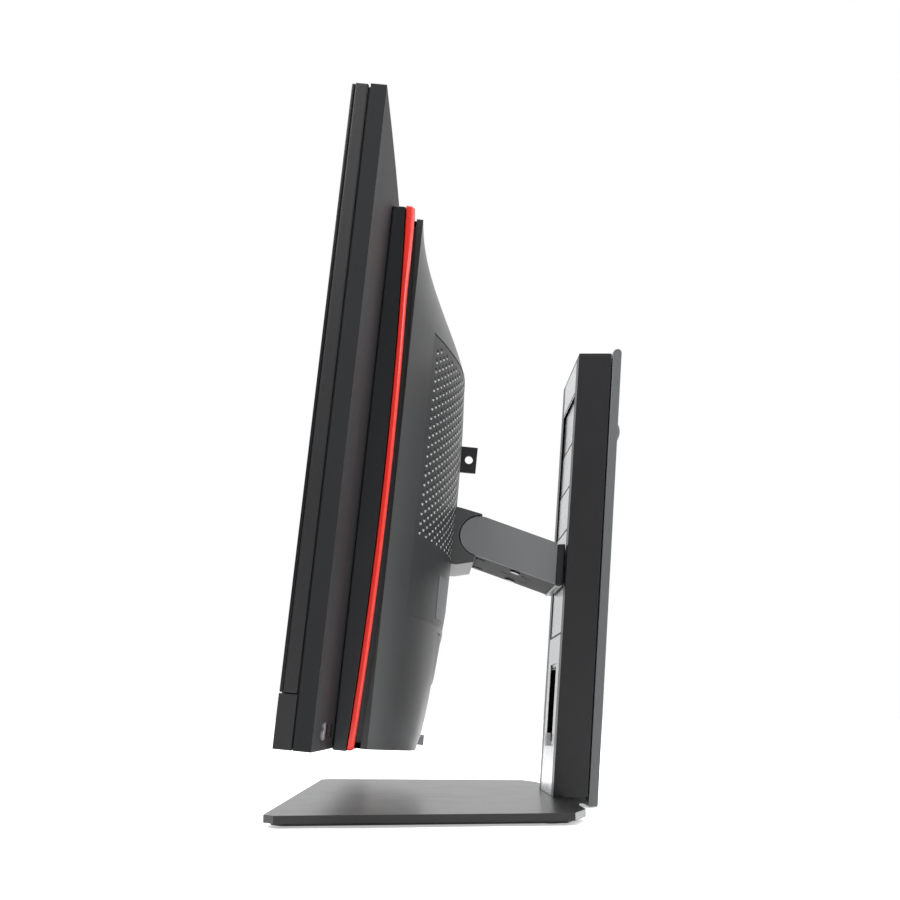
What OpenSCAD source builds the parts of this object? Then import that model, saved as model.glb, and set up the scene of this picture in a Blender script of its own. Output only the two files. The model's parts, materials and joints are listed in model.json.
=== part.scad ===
/* [Display] */
// Width of the display
display_w = 570; // [520:1:690]
// Height of the display, along its face
display_h = 367.6; // [300:0.1:445]
// Thickness of the front frame, glass included
frame_t = 9.5; // [7:0.1:12]
// Dark seam between front frame and rear rim
seam_w = 1; // [0.6:0.1:2]
// Thickness of the display at its edges
display_t = 19.6; // [18:0.1:24]
// How far the display back bulges behind its rim
back_bulge = 4.9; // [2:0.1:8]
// Height of the chin bar below the glass
chin_h = 28.4; // [22:0.1:40]
// Thickness of the screen glass
glass_t = 1.8; // [1.1:0.1:3]
// Width of the dark border round the picture
border_w = 21.4; // [12:0.1:30]
// How far the display leans back, in degrees
recline = 5.74; // [3:0.01:8]

/* [Housing] */
// Half width of the housing band
band_hw = 185; // [150:1:220]
// Top edge of the band, along the display
band_top = 345; // [300:1:360]
// Distance from screen face to the strip, at middle height
band_mid = 35.8; // [32:0.1:42]
// How much less that distance is at the ends of the bow
band_bow = 4.6; // [0:0.1:6]
// Width of the accent strip
strip_w = 5.5; // [3:0.1:8]
// Dark gap between strip and rear cover
cover_gap = 2.4; // [1:0.1:4]
// Deepest point of the rear cover behind the screen face
cover_deep = 86; // [80:1:105]
// Wall of the moulded covers
shell_wall = 2.5; // [2:0.1:4]
// Half width of the vent panel
vent_hw = 150; // [110:1:165]
// Lower and upper edge of the vent panel
vent_low = 87; // [60:1:120]
vent_high = 275; // [240:1:300]
// Half width of the cable cover
io_hw = 75; // [60:1:110]

/* [Arm] */
// Length from the hinge axis to the column face
arm_len = 67; // [55:1:90]
// Slope of the arm below level, in degrees
arm_slope = 20.2; // [12:0.1:26]
// Width of the arm
arm_w = 70; // [60:1:84]
// Radius of the arm's round end, half its height
arm_r = 14.9; // [13.5:0.1:18]
// Height where the arm's centre line meets the column
arm_z = 174.6; // [160:0.1:200]
// Distance of the hinge axis behind the screen face
hinge_u = 103.5; // [100:0.1:125]
// Distance of the hinge axis above the display's bottom edge
hinge_v = 161.3; // [140:0.1:190]
// Radius of the hinge pin
pin_r = 4; // [3:0.1:5.5]

/* [Column] */
// Width of the column
column_w = 94; // [84:1:120]
// Depth of the column, without its rear cover
column_d = 24.6; // [23:0.1:34]
// Height of the column
column_h = 336; // [330:1:410]
// How far the column leans back, in degrees
lean = 4.54; // [2:0.01:7]
// Thickness of the column's rear cover
rear_cover_t = 6.5; // [4:0.1:9]
// Gap between column and its rear cover
rear_gap = 1; // [0.5:0.1:2]
// Half width of the shutter opening
shutter_hw = 34; // [30:0.5:38]
// Thickness of one shutter plate
plate_t = 0.3; // [0.25:0.05:0.6]
// Diameter of the release button
button_d = 24; // [16:0.5:30]
// Height of the release button
button_z = 289; // [270:1:300]

/* [Base] */
// Depth of the base plate in front of the column
base_reach = 185; // [150:0.5:230]
// Half width of the base at its front edge
base_hw = 200; // [160:1:240]
// Half width of the base at its rear edge
base_rear_hw = 180; // [140:1:220]
// Thickness of the steel base plate
base_t = 4.6; // [3:0.1:8]
// Height of the base plate's underside
base_under = 2.9; // [2.4:0.1:5]
// Height of the rubber feet
foot_h = 1.2; // [0.8:0.1:2]

/* [Hidden] */
$fn = 64;

// Clearances: between still faces, of moving faces, and of a shaft in its bore
still_gap = 0.2;
move_gap = 0.3;
shaft_gap = 0.05;
eps = 0.01;

// The column's frame: heights are level, depths are measured square to its leaning face
base_top = base_under + base_t;
column_wall = 2.5;
flange_t = 0.5;
plate_gap = 0.15;
cap_t = 2;
column_in = column_w / 2 - column_wall;
column_back = column_d - column_wall;
cover_front = column_d + rear_gap;
cover_back = cover_front + rear_cover_t;
cap_low = column_h - cap_t;
button_dome = 9;
button_rim = 2;
button_travel = 3;
button_stem_r = 5;
dome_h = button_dome - button_rim;
dome_r = (pow(button_d / 2, 2) + pow(dome_h, 2)) / (2 * dome_h);
// Furthest point of the button behind the column's foot; the base and it share the depth evenly
rear_reach = button_z * tan(lean) + (cover_back + button_dome - dome_r) * cos(lean) + dome_r;
base_front = (base_reach + rear_reach) / 2;
column_y = base_reach - base_front;
function face_y(z, d = 0) = column_y + z * tan(lean) + d / cos(lean);

// Shutter: layers behind the face, and the level edges of its plates at rest
layer_pitch = plate_t + plate_gap;
function layer_d(i) = flange_t + plate_gap + (i - 1) * layer_pitch;
shutter_in = shutter_hw + 3;
neck_low = arm_z - 11.6;
neck_high = arm_z + 1.4;
neck_hw = 25;
header_low = column_h - 28.5;
carrier_low = arm_z - 69.6;
carrier_high = arm_z + 30;
upper_pitch = (header_low - carrier_high) / 3;
upper_overlap = 5.6;
header_overlap = 2.5;
lower_high = arm_z - 24.6;
lower_h = 50;
lower_cover_high = carrier_low + 21;
slot_hw = 18;
slot_low = 46;
slot_high = carrier_low - 1;

// Guides, carriage and gas spring
rail_front = 10;
rail_t = 3;
rail_x = 38;
rail_low = 16;
pad_x = 33;
pad_grip = 8;
pad_h = 14;
carriage_low = arm_z - 24.6;
carriage_high = arm_z + 17.4;
carriage_front = 7;
carriage_t = 12;
spring_x = 20;
spring_d = 14;
spring_r = 7.4;
bracket_plate_t = 4;
spring_low = base_top + bracket_plate_t + (spring_d + spring_r) * sin(lean) + still_gap;
spring_high = arm_z - 42.6;
spring_wall = 1.2;
spring_lid = 4;
rod_r = 3;
rod_seat = 3;
piston_low = spring_low + 19;
piston_h = 5;
rod_length = (carriage_low - piston_low) / cos(lean) + rod_seat;

// Arm frame: y runs from the hinge axis to the column, z square to the arm
hinge_z = arm_z + arm_len * sin(arm_slope);
hinge_y = face_y(arm_z) - arm_len * cos(arm_slope);
collar_t = 5.7;
collar_h = 2 * arm_r / cos(arm_slope + lean) - 1.4;
collar_back = still_gap + move_gap;
collar_front = collar_back + collar_t;
collar_mid = arm_z + (collar_front - collar_t / 2) * tan(arm_slope);
arm_wall = 2;
arm_in_hw = arm_w / 2 - arm_wall;
ear_x = 20.5;
ear_t = 4;
ear_r = 10;
ear_h = 12;
washer_t = 0.8;
washer_r = 9;
lug_r = 11.5;
lug_t = 4.5;
ear_room = washer_t + shaft_gap;
core_hw = ear_x - ear_room;
lug_x = ear_x + ear_t + ear_room;
lug_end = lug_x + lug_t;
casting_top = arm_r - arm_wall - still_gap;
arm_slot_w = 2.2;
arm_slot_l = 8;
arm_slots = [[0, 24], [-14, 40], [14, 40]];
arm_screw_x = 24;
arm_screw_y = 34;

// Display frame: x across, u behind the screen face, v up the face from the bottom edge
display_hw = display_w / 2;
display_back_wall = 2.2;
rim_wall = 2.5;
seam_inset = 1.5;
rim_u = frame_t + seam_w;
bulge_steps = 12;
function back_u(x) = display_t + back_bulge * (1 - pow(x / display_hw, 2));
panel_rim = 3;
panel_hw = display_hw - border_w + panel_rim;
panel_low = chin_h + border_w - panel_rim;
panel_high = display_h - border_w + panel_rim;
panel_t = 4;
tray_t = 3.2;
window_hw = band_hw - 17;
window_low = 16;
window_high = band_top - 17;

// Housing shells
band_low = -1;
band_wall = 3;
band_mid_v = (band_top + band_low) / 2;
band_half = (band_top - band_low) / 2;
bow_steps = 10;
function band_u(v) = band_mid - band_bow * pow((v - band_mid_v) / band_half, 2);
strip_out = 1;
strip_wall = 6;
cover_hw = band_hw - 2;
cover_low = 3;
cover_high = band_top - 7;
skirt_hw = band_hw + strip_out - strip_wall - still_gap;
skirt_low = band_low - strip_out + strip_wall + still_gap;
skirt_high = cover_high - 1.2;
side_fall = 43;
cover_side_u = cover_deep - side_fall;
cover_steps = 24;
function cover_u(x) = cover_deep - (cover_deep - cover_side_u) * pow(x / cover_hw, 2);
// Side view of the rear cover: depth relative to its deepest point, and height
cover_side = [[-14.4, cover_low], [-12, 11], [-8, 49], [-4.3, 50], [-3, 87], [0, 103], [0, 144],
    [1, 191], [-1, 238], [-4, 274], [-22, 306], [-side_fall, cover_high]];
vent_recess = 0.9;
vent_t = 1.5;
io_low = 11;
io_high = vent_low - 4;
bay_hw = io_hw - 12;
bay_u0 = 46;
bay_u1 = 68;
block_hw = 36;
seat_r = arm_r + 0.8;
block_low = 138;
block_high = 182;
block_front = cover_deep - 6;

// Inside the head
chassis_u = display_t + back_bulge + 0.5;
chassis_t = 1.5;
chassis_hw = band_hw - band_wall - still_gap;
chassis_low = 6;
chassis_high = band_top - band_wall - 4;
chassis_back = chassis_u + chassis_t;
chassis_screw_x = window_hw + 7;
chassis_screw_v = [for (i = [0 : 3]) chassis_low + 34 + i * (chassis_high - chassis_low - 74) / 3];
board_u = chassis_back + 4.5;
board_t = 1.6;
board_back = board_u + board_t;
board_x0 = -42;
board_x1 = 128;
board_v0 = 62;
board_v1 = 232;
cpu_x = 54;
cpu_v = 190;
sink_base = 3;
sink_hw = 30;
sink_fin_h = 9;
sink_u = board_back + 2;
pipe_r = 3;
pipe_u = sink_u + sink_base + pipe_r;
fan_x = -105;
fan_v = 196;
fan_hw = 38;
fan_t = 15;
fan_hole_r = 24;
fan_wall = 1.5;
fan_hub_r = 11;
fan_r = 33;
fan_blades = 11;
fan_shaft_r = 1.5;
bracket_u = 74;
bracket_t = 4;
bracket_hw = 30;
bracket_v0 = 142;
bracket_v1 = 178;
post_r = 5;
post_x = 24;

// Side ports and power button, in a row low on the display back
port_v = 10.5;
power_x = display_hw - 37;
jack_x = power_x - 22;
usb_x = power_x - 42;
power_r = 5;
power_travel = 1;
jack_r = 1.8;

module head() {
    translate([0, hinge_y, hinge_z])
        rotate([-recline, 0, 0])
            translate([0, -hinge_u, -hinge_v])
                children();
}

module arm() {
    translate([0, hinge_y, hinge_z])
        rotate([-arm_slope, 0, 0])
            children();
}

// A point on the column's face at a height, looking into the column along +y
module on_face(z) {
    translate([0, face_y(z), z])
        rotate([-lean, 0, 0])
            children();
}

// A block that follows the column's lean, with level ends
module lean_slab(x0, x1, d0, d1, z0, z1) {
    translate([x0, 0, 0])
        rotate([90, 0, 90])
            linear_extrude(x1 - x0)
                polygon([[face_y(z0, d0), z0], [face_y(z0, d1), z0],
                    [face_y(z1, d1), z1], [face_y(z1, d0), z1]]);
}

module block(x0, x1, y0, y1, z0, z1) {
    translate([x0, y0, z0])
        cube([x1 - x0, y1 - y0, z1 - z0]);
}

// A bar along x from x0 to x1
module bar_x(r, x0, x1) {
    translate([x0, 0, 0])
        rotate([0, 90, 0])
            cylinder(r = r, h = x1 - x0);
}

// A bar along +y from y0 to y1
module bar_y(r, y0, y1) {
    translate([0, y0, 0])
        rotate([-90, 0, 0])
            cylinder(r = r, h = y1 - y0);
}

// An outline in x and u, drawn upwards from v0 to v1
module plan_extrude(v0, v1) {
    translate([0, 0, v0])
        linear_extrude(v1 - v0)
            children();
}

// An outline in u and v, drawn across the width
module side_extrude(hw) {
    translate([-hw, 0, 0])
        rotate([90, 0, 90])
            linear_extrude(2 * hw)
                children();
}

module both_sides() {
    children();
    mirror([1, 0, 0])
        children();
}

// ---- base ----

function base_outline(inset) = [
    [-base_hw + 8.5 + inset, -base_front + inset],
    [base_hw - 8.5 - inset, -base_front + inset],
    [base_hw - inset, -base_front + 7 + inset],
    [base_rear_hw - inset, face_y(0) - 1.5 - inset],
    [base_rear_hw - 30 - inset, face_y(0) + 9 - inset],
    [column_in - 1 - inset, face_y(0) + 9 - inset],
    [column_in - 1 - inset, face_y(base_top, column_d) - 1 - inset],
    [-column_in + 1 + inset, face_y(base_top, column_d) - 1 - inset],
    [-column_in + 1 + inset, face_y(0) + 9 - inset],
    [-base_rear_hw + 30 + inset, face_y(0) + 9 - inset],
    [-base_rear_hw + inset, face_y(0) - 1.5 - inset],
    [-base_hw + inset, -base_front + 7 + inset]
];

screw_r = 2;
screw_head_r = 3.8;
screw_head_h = 1.8;
screw_head_t = 1.2;
base_screw_x = 32;
base_screw_d = [5, 18];

module base_screw_places() {
    for (x = [-base_screw_x, base_screw_x], d = base_screw_d)
        translate([x, face_y(base_top, d), 0])
            children();
}

module base_screw(extra) {
    translate([0, 0, base_under])
        cylinder(r1 = screw_head_r + extra, r2 = screw_r + extra, h = screw_head_h);
    translate([0, 0, base_under + screw_head_h - eps])
        cylinder(r = screw_r + extra, h = base_t + bracket_plate_t - screw_head_h);
}

module base_plate() {
    color("#1c1c1e")
        difference() {
            translate([0, 0, base_under])
                linear_extrude(base_t)
                    polygon(base_outline(0));
            base_screw_places()
                translate([0, 0, -eps])
                    base_screw(still_gap);
        }
}

underlay_inset = 4;

module base_underlay() {
    color("#141415")
        translate([0, 0, foot_h])
            linear_extrude(base_under - foot_h)
                polygon(base_outline(underlay_inset));
}

foot_r = 8;
foot_x = [-1, 0, 1];

module rubber_feet() {
    color("#101010")
        for (x = foot_x, y = [-base_front + 18, face_y(0) - 14])
            translate([x * (base_rear_hw - 22), y, 0])
                cylinder(r = foot_r, h = foot_h);
}

module base_screws() {
    color("silver")
        base_screw_places()
            base_screw(0);
}

// ---- column ----

module column_bracket() {
    ear_top = rail_low - 1;
    ear = 3;
    color("dimgray") {
        difference() {
            lean_slab(-column_in + still_gap, column_in - still_gap, flange_t + still_gap,
                column_back - still_gap, base_top, base_top + bracket_plate_t);
            base_screw_places()
                cylinder(r = screw_r + shaft_gap, h = base_top + 2 * bracket_plate_t);
        }
        both_sides()
            lean_slab(column_in - still_gap - ear, column_in - still_gap, carriage_front,
                column_back - still_gap, base_top + bracket_plate_t - eps, ear_top);
    }
}

module column_channel() {
    color("#26272a")
        difference() {
            lean_slab(-column_w / 2, column_w / 2, 0, column_d, base_top, cap_low);
            lean_slab(-column_in, column_in, flange_t, column_back, 0, column_h);
            lean_slab(-shutter_hw, shutter_hw, -1, flange_t + 1, 0, column_h);
            on_face(button_z)
                bar_y(button_stem_r + move_gap, column_back - 2, column_d + 2);
        }
}

module column_top_cap() {
    color("#303134") {
        lean_slab(-column_w / 2, column_w / 2, 0, column_d, cap_low, column_h);
        both_sides()
            lean_slab(column_in - still_gap - 2, column_in - still_gap, 16, column_back - still_gap,
                cap_low - 6, cap_low + eps);
    }
}

rear_cover_low = 0.8;
rear_cover_high = column_h + 3.5;
clip_z = [60, 180, 250, 320];

// The rear cover has a rounded top, and clips that hold it to the channel across their gap
module column_rear_cover() {
    r = rear_cover_t / 2;
    d = cover_front + r;
    z = rear_cover_high - r;
    color("#6c6e72") {
        difference() {
            side_extrude(column_w / 2)
                polygon(concat(
                    [for (e = [cover_back, cover_front])
                        [face_y(rear_cover_low, e), rear_cover_low]],
                    [for (a = [180 : -20 : 0])
                        [face_y(z + r * sin(a), d + r * cos(a)), z + r * sin(a)]]));
            on_face(button_z)
                bar_y(button_d / 2 + move_gap, cover_front - 1, cover_back + 1);
        }
        both_sides()
            for (z = clip_z)
                lean_slab(30, 36, column_d, cover_front + eps, z - 4, z + 4);
    }
}

module shutter_header() {
    color("#8a8d91")
        lean_slab(-shutter_hw + still_gap, shutter_hw - still_gap, 0, flange_t,
            header_low, cap_low - still_gap);
}

module lower_front_cover() {
    color("#77797d")
        difference() {
            lean_slab(-shutter_hw + still_gap, shutter_hw - still_gap, 0, flange_t,
                base_top + still_gap, lower_cover_high);
            lean_slab(-slot_hw, slot_hw, -1, flange_t + 1, slot_low, slot_high);
        }
}

module cable_clip() {
    color("#c8cacd")
        difference() {
            lean_slab(-7, 7, -2.5, flange_t, slot_low - 3.5, slot_low + 6);
            lean_slab(-8, 8, 0, flange_t + 1, slot_low - 4, slot_low);
            lean_slab(-4, 4, -1.2, flange_t + 1, slot_low - 4, slot_low + 4);
        }
}

// One moving plate in a layer behind the face, hidden edges behind the channel's flanges
module shutter_plate(layer, z0, z1) {
    color("#83868a")
        lean_slab(-shutter_in, shutter_in, layer_d(layer), layer_d(layer) + plate_t, z0, z1);
}

module shutter_carrier() {
    color("#7d8084")
        difference() {
            shutter_plate(1, carrier_low, carrier_high);
            lean_slab(-neck_hw, neck_hw, 0, layer_d(2), neck_low, neck_high);
        }
}

// Upper and lower plates are counted away from the arm, each in the next layer
module shutter_upper(i) {
    low = carrier_high + (i - 1) * upper_pitch - upper_overlap;
    high = carrier_high + i * upper_pitch + (i == 3 ? header_overlap : 0);
    shutter_plate(i + 1, low, high);
}

module shutter_lower(i) {
    shutter_plate(i + 1, lower_high - lower_h, lower_high);
}

module guide_rails() {
    color("silver")
        both_sides()
            lean_slab(rail_x, column_in, rail_front, rail_front + rail_t, rail_low, cap_low - 12);
}

module gas_spring_cylinder() {
    length = (spring_high - spring_low) / cos(lean);
    color("#55585c")
        translate([spring_x, 0, 0])
            on_spring(spring_low)
                difference() {
                    cylinder(r = spring_r, h = length);
                    translate([0, 0, spring_wall])
                        cylinder(r = spring_r - spring_wall, h = length - spring_lid - spring_wall);
                    translate([0, 0, length - spring_lid - 1])
                        cylinder(r = rod_r + shaft_gap, h = spring_lid + 2);
                }
}

// A point on the gas spring's axis at a height, +z along the column
module on_spring(z) {
    on_face(z)
        translate([0, spring_d, 0])
            children();
}

module gas_spring_rod() {
    color("silver")
        translate([spring_x, 0, 0])
            on_spring(piston_low) {
                cylinder(r = rod_r, h = rod_length);
                cylinder(r = spring_r - spring_wall - shaft_gap, h = piston_h);
            }
}

module release_button() {
    color("#3a3b3e")
        on_face(button_z) {
            bar_y(button_d / 2, cover_front + button_travel, cover_back + button_rim);
            translate([0, cover_back + button_rim, 0])
                intersection() {
                    translate([0, dome_h - dome_r, 0])
                        rotate([-90, 0, 0])
                            sphere(r = dome_r, $fn = 96);
                    bar_y(button_d / 2 + 1, 0, button_dome);
                }
            bar_y(button_stem_r, column_back - 1, cover_front + button_travel);
        }
}

// ---- carriage and arm ----

module carriage() {
    color("#4b4d50") {
        difference() {
            lean_slab(-pad_x, pad_x, carriage_front, carriage_front + carriage_t,
                carriage_low, carriage_high);
            translate([spring_x, 0, 0])
                on_spring(piston_low)
                    cylinder(r = rod_r + shaft_gap, h = rod_length + still_gap);
        }
        lean_slab(-neck_hw + move_gap, neck_hw - move_gap, -collar_back, carriage_front + eps,
            neck_low + move_gap, neck_high - move_gap);
    }
}

module glide_pads() {
    color("#d8d4c8")
        both_sides()
            for (z = [carriage_low + 3, carriage_high - 3 - pad_h])
                difference() {
                    lean_slab(pad_x, pad_x + pad_grip, rail_front - 3, rail_front + rail_t + 3,
                        z, z + pad_h);
                    lean_slab(rail_x - move_gap, column_in, rail_front - move_gap,
                        rail_front + rail_t + move_gap, z - 1, z + pad_h + 1);
                }
}

module arm_collar() {
    color("#18181a")
        lean_slab(-arm_w / 2 - 1, arm_w / 2 + 1, -collar_front, -collar_back,
            collar_mid - collar_h / 2, collar_mid + collar_h / 2);
}

// A piece drawn in the arm's frame, up to the collar
module before_collar() {
    difference() {
        arm()
            children();
        lean_slab(-arm_w, arm_w, -collar_front, column_d, 0, column_h);
    }
}

// The arm's side view: a round end and a straight bar, smaller by an inset
module arm_profile(hw, inset) {
    bar_x(arm_r - inset, -hw, hw);
    block(-hw, hw, 0, arm_len, -arm_r + inset, arm_r - inset);
}

module arm_casting() {
    color("#515457")
        before_collar()
            difference() {
                union() {
                    bar_x(lug_r, -core_hw, core_hw);
                    both_sides()
                        bar_x(lug_r, lug_x, lug_end);
                    block(-lug_end, lug_end, ear_r + 4, arm_len, -lug_r + 2, casting_top);
                    both_sides()
                        block(lug_x, lug_end, 0, ear_r + 5, -lug_r + 2, lug_r - 2);
                    block(-core_hw, core_hw, 0, ear_r + 5, -lug_r + 2, lug_r - 2);
                }
                bar_x(pin_r + shaft_gap, -arm_w, arm_w);
            }
}

module arm_shell() {
    color("#6e7073")
        before_collar()
            difference() {
                arm_profile(arm_w / 2, 0);
                arm_profile(arm_in_hw, arm_wall);
                block(-arm_in_hw, arm_in_hw, 2, arm_len, -arm_r - 1, 0);
                both_sides()
                    block(ear_x - 1, ear_x + ear_t + 1, -arm_r - 1, 3, -ear_h - 1.5, ear_h - 3);
            }
}

module arm_bottom_cover() {
    color("#5b5d60")
        before_collar()
            difference() {
                block(-arm_in_hw + still_gap, arm_in_hw - still_gap, 2 + still_gap, arm_len,
                    -arm_r, -arm_r + arm_wall);
                for (p = arm_slots)
                    block(p[0] - arm_slot_w / 2, p[0] + arm_slot_w / 2, p[1], p[1] + arm_slot_l,
                        -arm_r - 1, -arm_r + arm_wall + 1);
                both_sides()
                    block(20, 26, 2, 10, -arm_r - 1, -arm_r + arm_wall + 1);
                for (x = [-arm_screw_x, arm_screw_x])
                    translate([x, arm_screw_y, -arm_r - 1])
                        cylinder(r = screw_r, h = arm_wall + 2);
            }
}

module arm_screws() {
    color("silver")
        for (x = [-arm_screw_x, arm_screw_x])
            translate([x, arm_screw_y, -arm_r]) {
                cylinder(r = screw_r - shaft_gap, h = arm_r - lug_r + 2);
                translate([0, 0, -screw_head_t])
                    cylinder(r = screw_head_r, h = screw_head_t);
            }
}

module hinge_pin() {
    color("silver")
        bar_x(pin_r, -lug_end, lug_end);
}

module friction_washers() {
    color("#a9772f")
        both_sides()
            for (x = [core_hw, ear_x + ear_t + shaft_gap])
                difference() {
                    bar_x(washer_r, x, x + washer_t);
                    bar_x(pin_r + shaft_gap, x - 1, x + washer_t + 1);
                }
}

// ---- head: hinge ----

module hinge_bracket() {
    color("#4d5053") {
        difference() {
            union() {
                both_sides() {
                    translate([0, hinge_u, hinge_v])
                        bar_x(ear_r, ear_x, ear_x + ear_t);
                    block(ear_x, ear_x + ear_t, bracket_u + bracket_t, hinge_u,
                        hinge_v - ear_h / 2, hinge_v + ear_h / 2);
                }
            }
            translate([0, hinge_u, hinge_v])
                bar_x(pin_r + shaft_gap, -arm_w, arm_w);
        }
        block(-bracket_hw, bracket_hw, bracket_u, bracket_u + bracket_t, bracket_v0, bracket_v1);
        for (x = [-post_x, post_x], v = [bracket_v0 + 7, bracket_v1 - 7])
            translate([x, 0, v])
                bar_y(post_r, chassis_back, bracket_u);
    }
}

module hinge_block() {
    color("#5a5c5f")
        difference() {
            side_extrude(block_hw)
                polygon([[block_front, block_high], [cover_deep + 1, block_high - 0.8],
                    [hinge_u, hinge_v + seat_r + 0.9], [hinge_u + 0.4, hinge_v + seat_r],
                    [hinge_u, hinge_v], [hinge_u - 2.4, hinge_v - seat_r],
                    [hinge_u - 3.3, hinge_v - seat_r - 4.6], [cover_deep + 2, block_low],
                    [block_front, block_low]]);
            translate([0, hinge_u, hinge_v])
                bar_x(seat_r, -block_hw - 1, block_hw + 1);
            both_sides()
                block(ear_x - still_gap, ear_x + ear_t + still_gap, 0, hinge_u,
                    hinge_v - ear_h / 2 - still_gap, hinge_v + ear_h / 2 + still_gap);
        }
}

// ---- head: display ----

module screen_glass() {
    color("#0b0c0e")
        block(-display_hw + 0.6, display_hw - 0.6, 0, glass_t, chin_h + 0.4, display_h - 0.6);
}

module front_frame() {
    color("#2a2b2d")
        difference() {
            block(-display_hw, display_hw, glass_t, frame_t, chin_h + 0.2, display_h);
            block(-panel_hw - 1, panel_hw + 1, 0, frame_t + 1, panel_low - 1, panel_high + 1);
            block(-22, 22, 0, 7, panel_high, display_h - 5);
        }
}

module chin_bar() {
    color("#242527")
        difference() {
            block(-display_hw, display_hw, 0, frame_t, 0, chin_h - 0.2);
            block(-display_hw + rim_wall, display_hw - rim_wall, rim_wall, frame_t + 1,
                rim_wall, chin_h - rim_wall - 1);
            both_sides()
                for (x = [90 : 6 : 144])
                    block(x, x + 3, 4, 7.5, -1, rim_wall + 1);
        }
}

module lcd_panel() {
    color("#08090b")
        block(-panel_hw, panel_hw, glass_t, glass_t + panel_t, panel_low, panel_high);
}

module backlight_tray() {
    color("#b9bcc0")
        block(-panel_hw, panel_hw, glass_t + panel_t, glass_t + panel_t + tray_t,
            panel_low, panel_high);
}

module camera_module() {
    v = (panel_high + 1 + display_h - 5) / 2;
    color("#151515") {
        block(-20, 20, glass_t + 2, 6.5, v - 4, v + 4);
        translate([0, 0, v])
            bar_y(3.2, glass_t, glass_t + 2 + eps);
    }
}

module speakers() {
    color("#1d1d1d")
        both_sides()
            block(84, 150, rim_wall, frame_t - 0.5, rim_wall, chin_h - rim_wall - 1.2);
}

// The display back's plan outline from one depth to another before its curved face
module back_outline(u0, hw, inset) {
    polygon(concat(
        [[-hw, u0]],
        [for (i = [0 : bulge_steps]) let (x = -hw + 2 * hw * i / bulge_steps) [x, back_u(x) - inset]],
        [[hw, u0]]));
}

module port_holes(extra) {
    translate([power_x, 0, port_v])
        bar_y(power_r + extra, rim_u, back_u(0) + 5);
    translate([jack_x, 0, port_v])
        bar_y(4 + extra, rim_u, back_u(0) + 5);
    block(usb_x - 7.6 - extra, usb_x + 7.6 + extra, rim_u, back_u(0) + 5,
        port_v - 3.6 - extra, port_v + 3.6 + extra);
}

module display_back() {
    inner_u = back_u(chassis_screw_x) - display_back_wall - 2;
    color("#4a4b4e")
        difference() {
            union() {
                difference() {
                    union() {
                        plan_extrude(0, display_h)
                            back_outline(rim_u, display_hw, 0);
                        block(-display_hw + seam_inset, display_hw - seam_inset, frame_t,
                            rim_u + eps, seam_inset, display_h - seam_inset);
                    }
                    plan_extrude(seam_inset + rim_wall, display_h - seam_inset - rim_wall)
                        back_outline(frame_t - 1, display_hw - seam_inset - rim_wall,
                            display_back_wall);
                }
                chassis_screw_places()
                    bar_y(screw_r + 1.5, inner_u, chassis_u);
            }
            block(-window_hw, window_hw, frame_t, chassis_u + 1, window_low, window_high);
            port_holes(still_gap);
            chassis_screw_places()
                bar_y(screw_r, inner_u + 1, chassis_u + 1);
        }
}

side_u0 = rim_u + 1;

module side_ports() {
    face = back_u(usb_x) - 0.8;
    color("#8f9296") {
        translate([jack_x, 0, port_v])
            difference() {
                bar_y(4, side_u0, back_u(jack_x) - 0.8);
                bar_y(jack_r, side_u0 + 1, face + 3);
            }
        difference() {
            block(usb_x - 7.6, usb_x + 7.6, side_u0, face, port_v - 3.6, port_v + 3.6);
            block(usb_x - 6.4, usb_x + 6.4, side_u0 + 1, face + 1, port_v - 2.5, port_v + 2.5);
            }
        block(usb_x - 6, usb_x + 6, side_u0 + 1 - eps, face - 1, port_v - 0.4, port_v + 1.6);
        block(usb_x, power_x - power_r - 3, rim_u + still_gap, side_u0 + eps, 5.5, 18);
    }
}

module power_button() {
    face = back_u(power_x);
    color("#c9ccd0")
        translate([power_x, 0, port_v]) {
            bar_y(power_r, face - 2, face + power_travel + 0.6);
            bar_y(2, rim_u + 2, face - 2 + eps);
        }
}

// ---- head: housing ----

// An upright ring in x and v, drawn along u
module ring(hw, v0, v1, wall, u0, u1) {
    difference() {
        block(-hw, hw, u0, u1, v0, v1);
        block(-hw + wall, hw - wall, u0 - 1, u1 + 1, v0 + wall, v1 - wall);
    }
}

// Everything between the bowed line moved by near and the same line moved by far
module bowed(near, far) {
    v0 = band_low - 4;
    v1 = band_top + 4;
    side_extrude(band_hw + 10)
        polygon(concat(
            [for (i = [0 : bow_steps]) let (v = v0 + (v1 - v0) * i / bow_steps) [band_u(v) + far, v]],
            [for (i = [bow_steps : -1 : 0]) let (v = v0 + (v1 - v0) * i / bow_steps)
                [max(band_u(v) + near, 1), v]]));
}

module housing_band() {
    color("#2c2d30")
        difference() {
            intersection() {
                ring(band_hw, band_low, band_top, band_wall, display_t - 1, band_mid + 1);
                bowed(-band_mid, 0);
            }
            plan_extrude(-display_h, 2 * display_h)
                back_outline(0, display_hw, 0);
        }
}

module accent_strip() {
    color("#e02020")
        intersection() {
            ring(band_hw + strip_out, band_low - strip_out, band_top + strip_out, strip_wall,
                1, cover_deep);
            bowed(0, strip_w);
        }
}

// The rear cover's outer surface moved inwards, as a solid from the bowed line on
module cover_solid(inset, near, edge = 0) {
    hw = cover_hw - edge;
    intersection() {
        plan_extrude(cover_low + edge, cover_high - edge)
            polygon(concat(
                [[-hw, 1]],
                [for (i = [0 : cover_steps])
                    let (x = -hw + 2 * hw * i / cover_steps) [x, cover_u(x) - inset]],
                [[hw, 1]]));
        side_extrude(cover_hw)
            polygon(concat(
                [[1, cover_low]],
                [for (p = cover_side) [cover_deep + p[0] - inset, p[1]]],
                [[1, cover_high]]));
        bowed(near, cover_deep);
    }
}

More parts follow.
